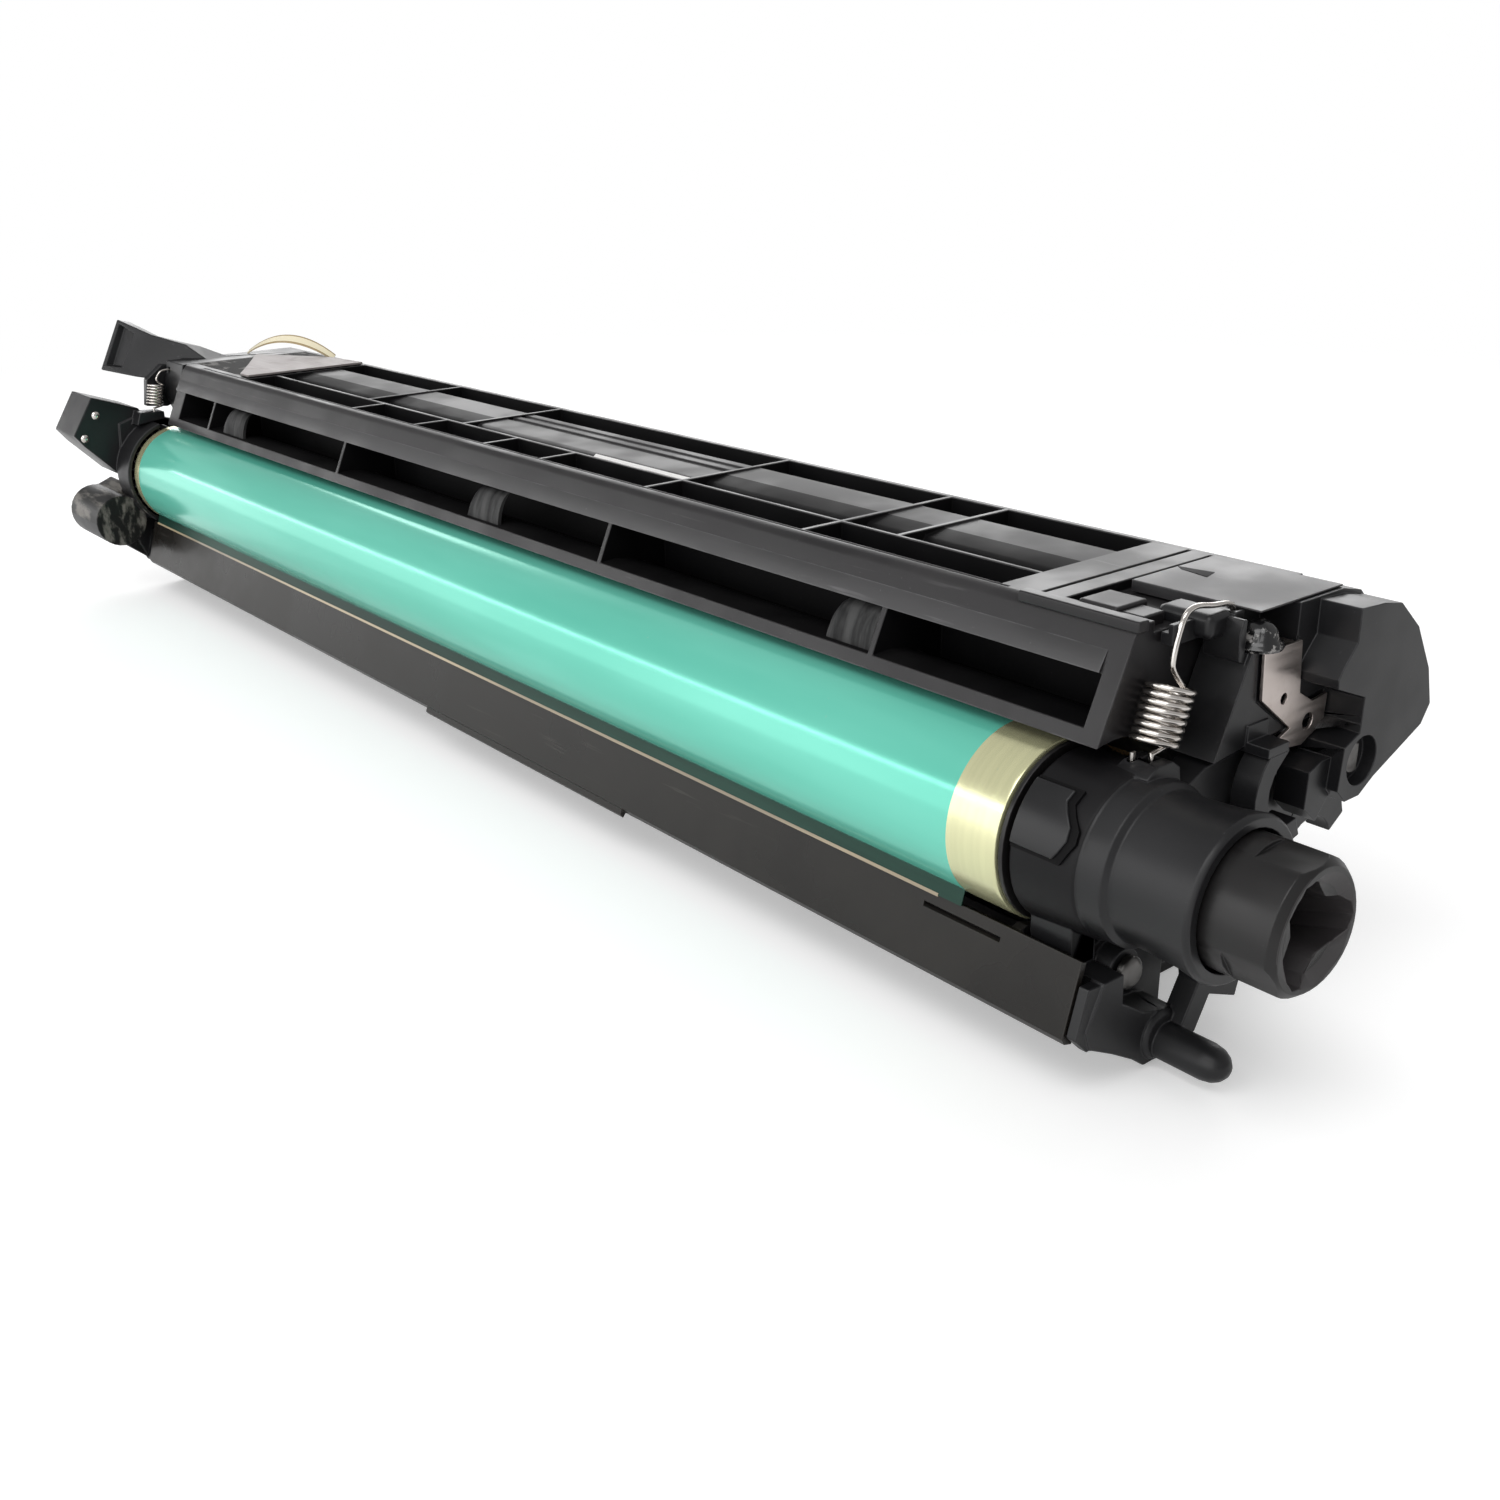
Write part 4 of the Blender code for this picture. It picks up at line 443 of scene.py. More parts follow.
@dataclass(frozen=True)
class Film(Finish):
    """Thin film or worn plastic in two tones, which change slowly or in streaks."""

    colour: Colour
    second: Colour
    roughness: float = 0.16
    streaks: Point = (9.0, 90.0, 90.0)
    share: Flat = (0.35, 0.65)
    coat: float = 0.5
    gloss: float = 0.5

    def build(self) -> Material:
        """Drift between the two tones.

        Returns:
            The new material.
        """
        material, graph, shader = self.start()
        drift = graph.between(graph.noise(graph.stretched(self.streaks), 1.0, 4.0, 0.6), *self.share)
        wave = graph.noise(graph.stretched((60.0, 300.0, 300.0)), 1.0, 2.0)
        graph.feed(shader, {
            "Base Color": graph.blend(drift, self.colour, self.second),
            "Normal": graph.bump(0.15, 0.0001, wave),
            "Roughness": self.roughness,
            "Coat Weight": self.coat,
            "Specular IOR Level": self.gloss,
        })
        return material


FRAME_PLASTIC = MouldedPlastic("frame_black_plastic", (0.0105, 0.0095, 0.0105), (0.1, 0.096, 0.098), 0.4,
                               wear=0.7, gloss=0.42)
# Near-black: painted shade on the faces inside the windows and pockets, also used for the dark gap round the
# hub's pad and the dark patch on the cover.
SHADE_AND_DARK_PATCH_BLACK = MouldedPlastic("painted_shade_and_dark_patch_black", (0.0038, 0.0036, 0.004), (0.022, 0.021, 0.022), 0.6,
                                wear=0.15, scuff=0.8, dust=0.04, gloss=0.1)
# A paler copy of the frame's black: painted light on the upward faces of the duct's crown.
LIT_CROWN_PLASTIC = MouldedPlastic("duct_crown_painted_light", (0.016, 0.0152, 0.016), (0.06, 0.058, 0.06), 0.46,
                               wear=0.3, dust=0.05, gloss=0.2)
HUB_PLASTIC = MouldedPlastic("hub_dark_plastic", (0.0055, 0.0052, 0.006), (0.035, 0.034, 0.036), 0.45,
                             wear=0.3, scuff=0.3, dust=0.04, gloss=0.22)
BRACKET_PLASTIC = MouldedPlastic("bracket_black_plastic", (0.0085, 0.0085, 0.0095), (0.075, 0.075, 0.08),
                                 0.36, grain=0.08, wear=0.55, scuff=0.35, dust=0.06, gloss=0.42)
COUPLING_PLASTIC = MouldedPlastic("coupling_black_plastic", (0.0095, 0.0088, 0.009), (0.07, 0.067, 0.07),
                                  0.34, grain=0.06, scuff=0.3, dust=0.05, gloss=0.42)
# A paler copy of the coupling's black: painted light on the walls inside its socket.
LIT_SOCKET_PLASTIC = MouldedPlastic("socket_painted_light_plastic", (0.03, 0.027, 0.028), (0.1, 0.09, 0.09), 0.45,
                                grain=0.06, scuff=0.3, dust=0.0)
COVER_PLASTIC = MouldedPlastic("cover_grey_plastic", (0.02, 0.0192, 0.0205), (0.14, 0.135, 0.14),
                               wear=0.5, gloss=0.6)
SHIELD_PLASTIC = MouldedPlastic("shield_gloss_black", (0.013, 0.0115, 0.01), (0.06, 0.056, 0.05), 0.3,
                                grain=0.03, wear=0.5, scuff=0.35, dust=0.05, coat=0.08, gloss=0.25)
GEAR_PLASTIC = MouldedPlastic("gear_dark_acetal", (0.02, 0.02, 0.022), (0.12, 0.12, 0.12), 0.4)
# Glossy black seal whose pale specks are painted glints.
SEAL_BLACK_WITH_GLINTS = Film("screw_seal_black_painted_glints", (0.005, 0.005, 0.0055), (0.3, 0.29, 0.28), 0.22,
                  streaks=(620.0, 620.0, 620.0), share=(0.54, 0.64))
BOSS_SCRAPED = Film("boss_scraped_plastic", (0.006, 0.0057, 0.0055), (0.15, 0.14, 0.125), 0.42,
                    streaks=(80.0, 330.0, 150.0), share=(0.46, 0.66), coat=0.0, gloss=0.3)
SHARD_PLASTIC = Film("far_top_scraped", (0.008, 0.0078, 0.0078), (0.13, 0.125, 0.12), 0.6,
                     streaks=(90.0, 260.0, 260.0), share=(0.5, 0.62), coat=0.0, gloss=0.03)
CLIP_FILM = Film("clip_smoky_film", (0.006, 0.006, 0.0065), (0.05, 0.05, 0.05), 0.55, coat=0.0, gloss=0.22,
                 streaks=(300.0, 120.0, 40.0))
DRUM_GREEN = DrumCoating("drum_green_coating", (0.12, 0.55, 0.42), (0.17, 0.64, 0.5), (0.86, 0.85, 0.52),
                         (0.3, 0.5, 0.42), band_start=BAND_X, rim_end=FAR_X + 3.9)
SPRING_STEEL = Metal("spring_nickel", (0.78, 0.74, 0.7), (0.35, 0.28, 0.22), 0.18, stain=0.35)
PIN_STEEL = Metal("pin_steel", (0.55, 0.54, 0.52), (0.25, 0.22, 0.2), 0.3)
DARK_STEEL = Metal("dark_oiled_steel", (0.16, 0.155, 0.15), (0.05, 0.045, 0.04), 0.35)
CONTACT_METAL = Metal("contact_plate_metal", (0.74, 0.66, 0.62), (0.42, 0.35, 0.3), 0.34, stain=0.3,
                      drawn=(30.0, 60.0, 1200.0))
PLATE_METAL = Metal("far_plate_sheet", (0.3, 0.272, 0.266), (0.2, 0.185, 0.18), 0.55, 0.3)
BLADE_RUBBER = SoftRubber("blade_amber_rubber", (0.5, 0.33, 0.16), 2400.0, 0.05, 0.4)
ROLLER_RUBBER = SoftRubber("roller_black_rubber", (0.03, 0.03, 0.032), 2600.0, 0.1, 0.6)
CLEANING_FOAM = SoftRubber("cleaning_grey_foam", (0.3, 0.3, 0.32), 1500.0, 0.9, 0.95)
TAN_FILM = Film("shield_tan_film", (0.42, 0.33, 0.21), (0.24, 0.19, 0.13), 0.3)
# Dark green: painted shade of the drum's lower part, laid on the seal film, which reaches up above the
# shield's top to carry it.
DRUM_SHADE_FILM = Film("seal_film_painted_drum_shade", (0.007, 0.028, 0.02), (0.014, 0.05, 0.036), 0.36, coat=0.0, gloss=0.2)
CREAM_FILM = Film("top_cream_film", (0.9, 0.82, 0.6), (0.8, 0.73, 0.52), 0.3)
RIM_FILM = Film("top_film_brown_rim", (0.36, 0.26, 0.12), (0.26, 0.19, 0.09), 0.4)
# Near-white: a painted highlight along the front edge of the duct's wide crown.
EDGE_HIGHLIGHT_FILM = Film("duct_edge_painted_highlight", (0.93, 0.92, 0.9), (0.86, 0.85, 0.84), 0.4)

RECORD = frame["record"]
BODY_OF = {node: body for body, nodes in RECORD["behaviour"]["bodies"].items() for node in nodes}


def new_object(name: str, cage: bmesh.types.BMesh) -> Object:
    """An object in the scene made from a bmesh, which is freed.

    Args:
        name: the name of the object and its mesh.
        cage: the bmesh to use up.

    Returns:
        The new object.
    """
    mesh = bpy.data.meshes.new(name)
    cage.to_mesh(mesh)
    cage.free()
    obj = bpy.data.objects.new(name, mesh)
    bpy.context.scene.collection.objects.link(obj)
    return obj


def smooth(obj: Object, degrees: float = 35.0) -> None:
    """Shade an object smooth, with creases kept sharp."""
    obj.data.shade_smooth()
    obj.data.set_sharp_from_angle(angle=math.radians(degrees))


def applied(obj: Object) -> Object:
    """The object with its modifiers turned into mesh.

    Args:
        obj: an object with modifiers.

    Returns:
        The same object without them.
    """
    graph = bpy.context.evaluated_depsgraph_get()
    mesh = bpy.data.meshes.new_from_object(obj.evaluated_get(graph))
    obj.modifiers.clear()
    obj.data = mesh
    return obj


def dressed(obj: Object, finish: Finish) -> Object:
    """Give an object one finish and the slot of a CAD node.

    Args:
        obj: the object.
        finish: the finish of all its faces.

    Returns:
        The same object.
    """
    obj.data.materials.clear()
    obj.data.materials.append(finish.made())
    return obj


def joins(obj: Object, node: str, finish: Finish) -> Object:
    """Dress an extra piece and seat it on the body of a CAD node."""
    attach(obj, BODY_OF[node])
    return dressed(obj, finish)


def stands_for(obj: Object, node: str, finish: Finish) -> Object:
    """Dress a piece and seat it in place of a CAD node, on its body.

    Args:
        obj: the piece.
        node: the CAD node that it replaces.
        finish: the finish of all its faces.

    Returns:
        The same piece.
    """
    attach(obj, BODY_OF[node])
    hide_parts(node)
    return dressed(obj, finish)


def within(value: float, span: Flat) -> bool:
    """Whether a value lies between two others."""
    return span[0] < value < span[1]


def rounded(obj: Object, width: float, crease: float = 38.0) -> Object:
    """Round an object's edges and keep its flat faces flat in the shading.

    Args:
        obj: the object, as one closed mesh.
        width: how far back the rounding starts, in millimetres.
        crease: the least angle in degrees that is rounded.

    Returns:
        The same object with the rounding in its mesh.
    """
    obj.data.shade_smooth()
    rounding = obj.modifiers.new("Rounding", "BEVEL")
    rounding.width = width * MM
    rounding.segments = EDGE_FACETS
    rounding.limit_method = "ANGLE"
    rounding.angle_limit = math.radians(crease)
    rounding.use_clamp_overlap = False
    weighting = obj.modifiers.new("Flat faces", "WEIGHTED_NORMAL")
    weighting.keep_sharp = True
    return applied(obj)


def carved(obj: Object, cutters: Iterable[Object]) -> Object:
    """Cut closed shapes out of an object and remove them.

    Args:
        obj: the object.
        cutters: the closed shapes.

    Returns:
        The same object with the cuts in its mesh.
    """
    for cutter in cutters:
        cut = obj.modifiers.new("Cut", "BOOLEAN")
        cut.operation = "DIFFERENCE"
        cut.solver = "EXACT"
        cut.object = cutter
        applied(obj)
        bpy.data.objects.remove(cutter)
    return obj


def softened(node: str, finish: Finish, width: float, crease: float = 38.0,
             cutters: Iterable[Object] = ()) -> Object:
    """A dressed copy of a CAD node with fine cuts made and its edges rounded.

    Args:
        node: the CAD node.
        finish: the finish of the whole piece.
        width: how far back the rounding starts, in millimetres.
        crease: the least angle in degrees that is rounded.
        cutters: closed shapes to cut out first.

    Returns:
        The rounded piece, standing for the node.
    """
    cage = bmesh.new()
    cage.from_mesh(frame["nodes"][node].data)
    bmesh.ops.remove_doubles(cage, verts=cage.verts, dist=CAD_WELD)
    bmesh.ops.dissolve_limit(cage, angle_limit=math.radians(FLAT_DEGREES), verts=cage.verts, edges=cage.edges)
    obj = carved(new_object(f"{node}_moulding", cage), cutters)
    return stands_for(rounded(obj, width, crease), node, finish)


def extruded(name: str, outline: Sequence[Flat], low: float, high: float, axis: Axis = Axis.X,
             edge: float = 0.0) -> Object:
    """A closed outline drawn out along an axis.

    Args:
        name: the piece's name.
        outline: points across the axis, as (y, z), (x, -z) or (x, y).
        low: where it starts along the axis.
        high: where it ends.
        axis: the direction of the axis.
        edge: how far back its edges are rounded, or 0 for sharp ones.

    Returns:
        The extruded object.
    """
    sections = [[placed((0.0, 0.0), spot, along, axis) for spot in outline] for along in (low, high)]
    return lofted(name, sections, edge)


def lofted(name: str, sections: Sequence[Sequence[Vector]], edge: float = 0.0) -> Object:
    """A closed body through sections with equal numbers of points.

    Args:
        name: the piece's name.
        sections: rings of points in the frame, in order along the body.
        edge: how far back its edges are rounded, or 0 for sharp ones.

    Returns:
        The new body.
    """
    cage = bmesh.new()
    rings = [[cage.verts.new(spot) for spot in section] for section in sections]
    cage.faces.new(rings[0])
    cage.faces.new(rings[-1][::-1])
    for first, second in zip(rings, rings[1:]):
        for i, corner in enumerate(first):
            j = (i + 1) % len(first)
            cage.faces.new((corner, first[j], second[j], second[i]))
    bmesh.ops.recalc_face_normals(cage, faces=cage.faces)
    obj = new_object(name, cage)
    if edge:
        return rounded(obj, edge)
    smooth(obj)
    return obj


def block(name: str, low: Point, high: Point, edge: float = 0.0) -> Object:
    """A box between two corners."""
    outline = [(low[0], low[1]), (high[0], low[1]), (high[0], high[1]), (low[0], high[1])]
    return extruded(name, outline, low[2], high[2], Axis.Z, edge)


def repainted(obj: Object, finish: Finish, chosen: Callable[[Vector, Vector], bool]) -> None:
    """Give a second finish to the faces that a test picks by their middle and their normal.

    Args:
        obj: the object, with its first finish on it.
        finish: the second finish.
        chosen: the test, given the face's middle in millimetres from the drum's axis and its normal.
    """
    obj.data.materials.append(finish.made())
    slot = len(obj.data.materials) - 1
    for face in obj.data.polygons:
        if chosen((face.center - AXIS_PLACE) / MM, face.normal):
            face.material_index = slot


def turned(name: str, profile: Sequence[Flat], centre: Flat = (0.0, 0.0), axis: Axis = Axis.X,
           steps: int = 64, ring: bool = False) -> Object:
    """A profile turned round an axis.

    Args:
        name: the piece's name.
        profile: (along, radius) points in millimetres.
        centre: the axis's place across, as (y, z), (x, -z) or (x, y).
        axis: the direction of the axis.
        steps: facets round it.
        ring: whether the profile closes on itself.

    Returns:
        The turned object.
    """
    cage = bmesh.new()
    rings = []
    for along, radius in profile:
        spots = [polar(radius, 360.0 * i / steps) for i in range(steps)] if radius else [(0.0, 0.0)]
        rings.append([cage.verts.new(placed(centre, spot, along, axis)) for spot in spots])
    pairs = list(zip(rings, rings[1:]))
    if ring:
        pairs.append((rings[-1], rings[0]))
    for first, second in pairs:
        for i in range(steps):
            j = (i + 1) % steps
            corners = [first[i % len(first)], first[j % len(first)], second[j % len(second)],
                       second[i % len(second)]]
            face = list(dict.fromkeys(corners))
            if len(face) > 2:
                cage.faces.new(face)
    bmesh.ops.recalc_face_normals(cage, faces=cage.faces)
    obj = new_object(name, cage)
    smooth(obj)
    return obj


def placed(centre: Flat, spot: Flat, along: float, axis: Axis) -> Vector:
    """The frame's point for a spot across an axis and a distance along it."""
    return place(*(axis.value @ Vector((centre[0] + spot[0], centre[1] + spot[1], along))))


def wire(name: str, route: Sequence[Vector], radius: float) -> Object:
    """A round wire through points in the frame, as a mesh with closed ends.

    Args:
        name: the wire's name.
        route: the points of its middle line.
        radius: half its thickness in millimetres.

    Returns:
        The new wire.
    """
    curve = bpy.data.curves.new(name, "CURVE")
    curve.dimensions = "3D"
    curve.bevel_depth = radius * MM
    curve.bevel_resolution = WIRE_FACETS
    curve.use_fill_caps = True
    spline = curve.splines.new("POLY")
    spline.points.add(len(route) - 1)
    for point, spot in zip(spline.points, route):
        point.co = (*spot, 1.0)
    guide = bpy.data.objects.new(f"{name}_guide", curve)
    bpy.context.scene.collection.objects.link(guide)
    graph = bpy.context.evaluated_depsgraph_get()
    mesh = bpy.data.meshes.new_from_object(guide.evaluated_get(graph))
    bpy.data.objects.remove(guide)
    cage = bmesh.new()
    cage.from_mesh(mesh)
    bmesh.ops.remove_doubles(cage, verts=cage.verts, dist=WIRE_WELD)
    bmesh.ops.recalc_face_normals(cage, faces=cage.faces)
    obj = new_object(name, cage)
    smooth(obj, 60)
    return obj


def rounded_route(corners: Sequence[Vector], steps: int = 6) -> list[Vector]:
    """A smooth route through corners, ends included.

    Args:
        corners: the points to pass through.
        steps: how many points each stretch gets.

    Returns:
        The points of the route.
    """
    spots = [corners[0], *corners, corners[-1]]
    route = []
    for a, b, c, d in zip(spots, spots[1:], spots[2:], spots[3:]):
        for i in range(steps):
            t = i / steps
            route.append(0.5 * (2 * b + (c - a) * t + (2 * a - 5 * b + 4 * c - d) * t**2
                                + (3 * b - a - 3 * c + d) * t**3))
    return route + [corners[-1]]


def coil(low: Vector, high: Vector, radius: float, turns: int, steps: int = 28) -> list[Vector]:
    """The points of a coil between two places in the frame.

    Args:
        low: the lower end of its axis.
        high: the upper end of its axis.
        radius: from its axis to the wire's middle, in millimetres.
        turns: how many turns it has.
        steps: how many points each turn gets.

    Returns:
        The points of the wire's middle line.
    """
    along = (high - low).normalized()
    side = along.cross(Vector((1.0, 0.0, 0.0))).normalized()
    other = along.cross(side)
    count = turns * steps
    points = []
    for i in range(count + 1):
        angle = math.tau * i / steps
        swing = (side * math.cos(angle) + other * math.sin(angle)) * radius * MM
        points.append(low + (high - low) * (i / count) + swing)
    return points


@dataclass
class Drum:
    """The coated tube, its drive coupling, its far flange and the earth plate."""

    wall: float = 1.0
    rim: float = 0.25
    guard: float = 1.0
    steps: int = 144
    flats_x: Flat = (38.4, 49.0)
    flat_angles: tuple[float, ...] = (95.0, 215.0, 335.0)
    flat_half: float = 34.0
    flat_radius: float = 9.75
    cutter_radius: float = 16.0
    cutter_half: float = 25.0
    socket_x: float = 33.0
    socket_radius: float = 9.3

    def make(self) -> None:
        """Build the tube, with a ring behind each rim that keeps its reflections straight, and the rest."""
        low, high, rim, round_rim = FAR_X, DRUM_NEAR_X, self.rim, self.rim * 0.3
        inner, outer = DRUM_RADIUS - self.wall, DRUM_RADIUS
        profile = [(low, inner), (high, inner), (high, outer - rim), (high - round_rim, outer - round_rim),
                   (high - rim, outer), (high - self.guard, outer), (BAND_X, outer),
                   (low + self.guard, outer), (low + rim, outer), (low + round_rim, outer - round_rim),
                   (low, outer - rim)]
        tube = turned("drum_tube_coated", profile, steps=self.steps, ring=True)
        stands_for(tube, "drum_tube", DRUM_GREEN)
        self.coupling()
        softened("far_flange", GEAR_PLASTIC, 0.04)
        softened("drum_earth_plate", CONTACT_METAL, 0.1)

    def coupling(self) -> None:
        """The faceted coupling tube, with the walls of its socket made paler as painted light in the dark
        hollow.
        """
        reach = self.flat_radius / math.cos(math.radians(self.flat_half))
        shape = ((reach, -self.flat_half), (self.cutter_radius, -self.cutter_half),
                 (self.cutter_radius, self.cutter_half), (reach, self.flat_half))
        flats = [extruded("coupling_flat", [polar(radius, middle + side) for radius, side in shape],
                          *self.flats_x) for middle in self.flat_angles]
        coupling = softened("drive_flange", COUPLING_PLASTIC, 0.14, 34.0, flats)
        # Painted light: the socket's walls get a paler copy of the coupling's black.
        repainted(coupling, LIT_SOCKET_PLASTIC, self.socket)

    def socket(self, spot: Vector, normal: Vector) -> bool:
        """Whether a face is a wall of the coupling's socket, which gets the painted light."""
        return spot.x > self.socket_x and math.hypot(spot.y, spot.z) < self.socket_radius and normal.x < 0.9


@dataclass(frozen=True)
class TensionSpring:
    """A spring that holds the cleaner frame to the drum, wound upwards from its foot to its hook."""

    node: str
    x: float
    foot: Sequence[Flat]
    ends: Sequence[Flat]
    hook: Sequence[Flat]
    radius: float
    turns: int
    wire_radius: float

    def across(self, spots: Sequence[Flat]) -> list[Vector]:
        """The frame's points for (y, z) points of the spring."""
        return [place(self.x, *spot) for spot in spots]

    def make(self) -> None:
        """Wind the coil and lead its wire into the hook."""
        winding = coil(*self.across(self.ends), self.radius, self.turns)
        hook = rounded_route([winding[-1], *self.across(self.hook)])[1:]
        name = self.node.replace("spring", "coil")
        bent = wire(name, self.across(self.foot) + winding + hook, self.wire_radius)
        stands_for(bent, self.node, SPRING_STEEL)


@dataclass
class Springs:
    """The two tension springs and the two that press the charge roller up."""

    drive: TensionSpring = TensionSpring(
        "drive_tension_spring", x=15.0, radius=3.35, turns=8, wire_radius=0.45,
        foot=((3.5, 13.3), (3.4, 15.2)), ends=((3.6, 16.6), (7.0, 25.0)),
        hook=((7.2, 27.2), (6.9, 29.2), (7.7, 32.4), (9.0, 35.2), (11.4, 36.0), (15.2, 35.4), (19.0, 34.9),
              (20.5, 33.9), (20.6, 31.4)))
    far: TensionSpring = TensionSpring(
        "far_tension_spring", x=FAR_X - 6.4, radius=2.2, turns=7, wire_radius=0.35,
        foot=((-3.6, 17.4), (-3.6, 20.0)), ends=((-3.2, 21.0), (-1.9, 27.2)),
        hook=((-1.4, 28.4), (-0.4, 30.4), (1.2, 31.2), (4.2, 31.2)))
    charge_wire: float = 0.3
    charge_turns: int = 4
    charge_steps: int = 24

    def make(self) -> None:
        """Wind each spring as a smooth wire."""
        self.drive.make()
        self.far.make()
        for node in ("drive_charge_spring", "far_charge_spring"):
            low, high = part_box(node)
            middle = (low + high) / 2
            radius = (high.x - low.x) / 2 / MM - self.charge_wire
            foot = Vector((middle.x, middle.y, low.z + self.charge_wire * MM))
            head = Vector((middle.x, middle.y, high.z - self.charge_wire * MM))
            winding = coil(foot, head, radius, self.charge_turns, self.charge_steps)
            stands_for(wire(f"{node}_coil", winding, self.charge_wire), node, SPRING_STEEL)


@dataclass
class Mouldings:
    """The pieces whose drawn form is right: their edges are rounded and they are dressed."""

    pieces: tuple[tuple[str, Finish, float], ...] = (
        ("lower_housing", FRAME_PLASTIC, 0.25),
        ("lower_shield", SHIELD_PLASTIC, 0.12),
        ("far_end_cap", BRACKET_PLASTIC, 0.35),
        ("waste_auger", COVER_PLASTIC, 0.15),
        ("auger_gear", GEAR_PLASTIC, 0.04),
        ("idler_gear", GEAR_PLASTIC, 0.04),
        ("drive_bearing", COVER_PLASTIC, 0.2),
        ("drive_charge_bearing", COVER_PLASTIC, 0.3),
        ("far_charge_bearing", COVER_PLASTIC, 0.3),
        ("contact_plate", CONTACT_METAL, 0.1),
        ("far_top_plate", PLATE_METAL, 0.1),
        ("blade_holder", PIN_STEEL, 0.15),
        ("cleaning_blade", BLADE_RUBBER, 0.1),
        ("charge_rubber", ROLLER_RUBBER, 0.2),
        ("cleaning_foam", CLEANING_FOAM, 0.3),
        ("drive_hinge_pin", DARK_STEEL, 0.2),
        ("far_hinge_pin", PIN_STEEL, 0.2),
        ("bracket_screw", DARK_STEEL, 0.15),
        ("far_axle_pin", PIN_STEEL, 0.25),
    )

    def make(self) -> None:
        """Round and dress each piece."""
        for node, finish, width in self.pieces:
            softened(node, finish, width)


@dataclass
class Cleaner:
    """The long frame with painted shade inside its windows and pockets and painted light on its duct's crown,
    a pale bead that paints the rail's highlight line, a strip that paints a highlight on the duct's edge, and
    the curled clips.
    """

    foot: Flat = polar(17.1, 103.5)
    slant: float = 24.3
    far_x: float = FAR_X + 5.0
    top_far_x: float = FAR_X + 47.0
    inside_near_x: float = 10.0
    window_z: Flat = (17.6, 27.5)
    window_back: float = 13.9
    window_depth: float = 0.45
    pocket_z: Flat = (27.2, 33.2)
    pocket_y: Flat = (5.6, 43.9)
    pocket_depth: float = 2.0
    crown_z: Flat = (30.8, 33.6)
    crown_wide_x: Flat = (-202.0, -113.0)
    crown_wide_y: Flat = (18.5, 37.5)
    crown_narrow_y: Flat = (25.0, 37.5)
    # A raised bead along the rail's top edge; its paler colour is a painted highlight line.
    highlight_bead: tuple[Flat, ...] = ((10.7, -0.3), (10.7, 0.38), (11.0, 0.42), (14.3, 0.03), (14.3, -0.3))
    highlight_bead_near_x: float = 7.2
    # Where the near-white strip lies that paints a highlight on the wide crown's front edge.
    highlight_strip: tuple[Flat, ...] = ((18.7, 32.2), (18.55, 32.45), (19.45, 33.1), (19.65, 32.88))
    highlight_strip_x: Flat = (-150.5, -114.6)
    clip_starts: tuple[Flat, ...] = ((FAR_X + 44.0, 13.5), (FAR_X + 185.0, 12.5), (-49.6, 10.5))
    clip_top: float = 10.4
    clip_hold: Flat = (2.6, -0.3)
    clip_bulge: float = 4.6
    clip_drop: float = 8.8
    clip_turn: float = 82.0
    clip_steps: int = 8
    clip_corner: float = 3.4
    clip_shares: tuple[float, ...] = (0.0, 0.08, 0.25, 0.5, 0.75, 1.0)

    def front(self, height: float, out: float = 0.0) -> Flat:
        """A point on the slanted face, at a height along it and a distance before it.

        Args:
            height: how far up the face.
            out: how far before it.

        Returns:
            The (y, z) point.
        """
        lean = math.radians(self.slant)
        return (self.foot[0] + height * math.sin(lean) - out * math.cos(lean),
                self.foot[1] + height * math.cos(lean) + out * math.sin(lean))

    def depth(self, spot: Vector) -> float:
        """How far a point lies behind the slanted face."""
        lean = math.radians(self.slant)
        return (spot.y - self.foot[0]) * math.cos(lean) - (spot.z - self.foot[1]) * math.sin(lean)

    def in_painted_shade(self, spot: Vector, _normal: Vector) -> bool:
        """Whether a face lies inside a window or a pocket, where shade is painted.

        Args:
            spot: the face's middle, in millimetres.
            _normal: its normal, which doesn't matter here.

        Returns:
            True for a face that gets the painted shade.
        """
        depth = self.depth(spot)
        window = within(spot.z, self.window_z) and spot.y < self.window_back and depth > self.window_depth
        pocket = within(spot.z, self.pocket_z) and within(spot.y, self.pocket_y) and depth > self.pocket_depth
        return within(spot.x, (self.far_x + 0.5, self.inside_near_x)) and (window or pocket)

    def on_lit_crown(self, spot: Vector, normal: Vector) -> bool:
        """Whether a face is on top of the duct's crown, which gets painted light and is wide only in the
        middle.
        """
        breadth = self.crown_wide_y if within(spot.x, self.crown_wide_x) else self.crown_narrow_y
        return within(spot.z, self.crown_z) and within(spot.y, breadth) and normal.z > 0.3

    def make(self) -> None:
        """Cut the grooves, paint shade inside the windows and pockets and light on the duct's crown, and add
        the scraped skin, the bead and the strip that paint highlights, and the clips.
        """
        node = "cleaner_frame"
        grooves = [block("cover_groove", (-10.15, 6.4, 33.1), (-9.5, 43.6, 36.0)),
                   block("rail_groove", (self.top_far_x - 30.0, 5.2, 33.35), (-15.5, 5.55, 36.0))]
        body = softened(node, FRAME_PLASTIC, 0.22, cutters=grooves)
        # Painted shade: the faces inside the windows and pockets get the near-black finish.
        repainted(body, SHADE_AND_DARK_PATCH_BLACK, self.in_painted_shade)
        # Painted light: the upward faces of the duct's crown get a paler copy of the frame's black.
        repainted(body, LIT_CROWN_PLASTIC, self.on_lit_crown)
        skin = block("far_top_scraped_skin", (self.far_x + 1.0, 7.4, 33.2),
                     (self.top_far_x - 0.6, 43.2, 33.89), 0.15)
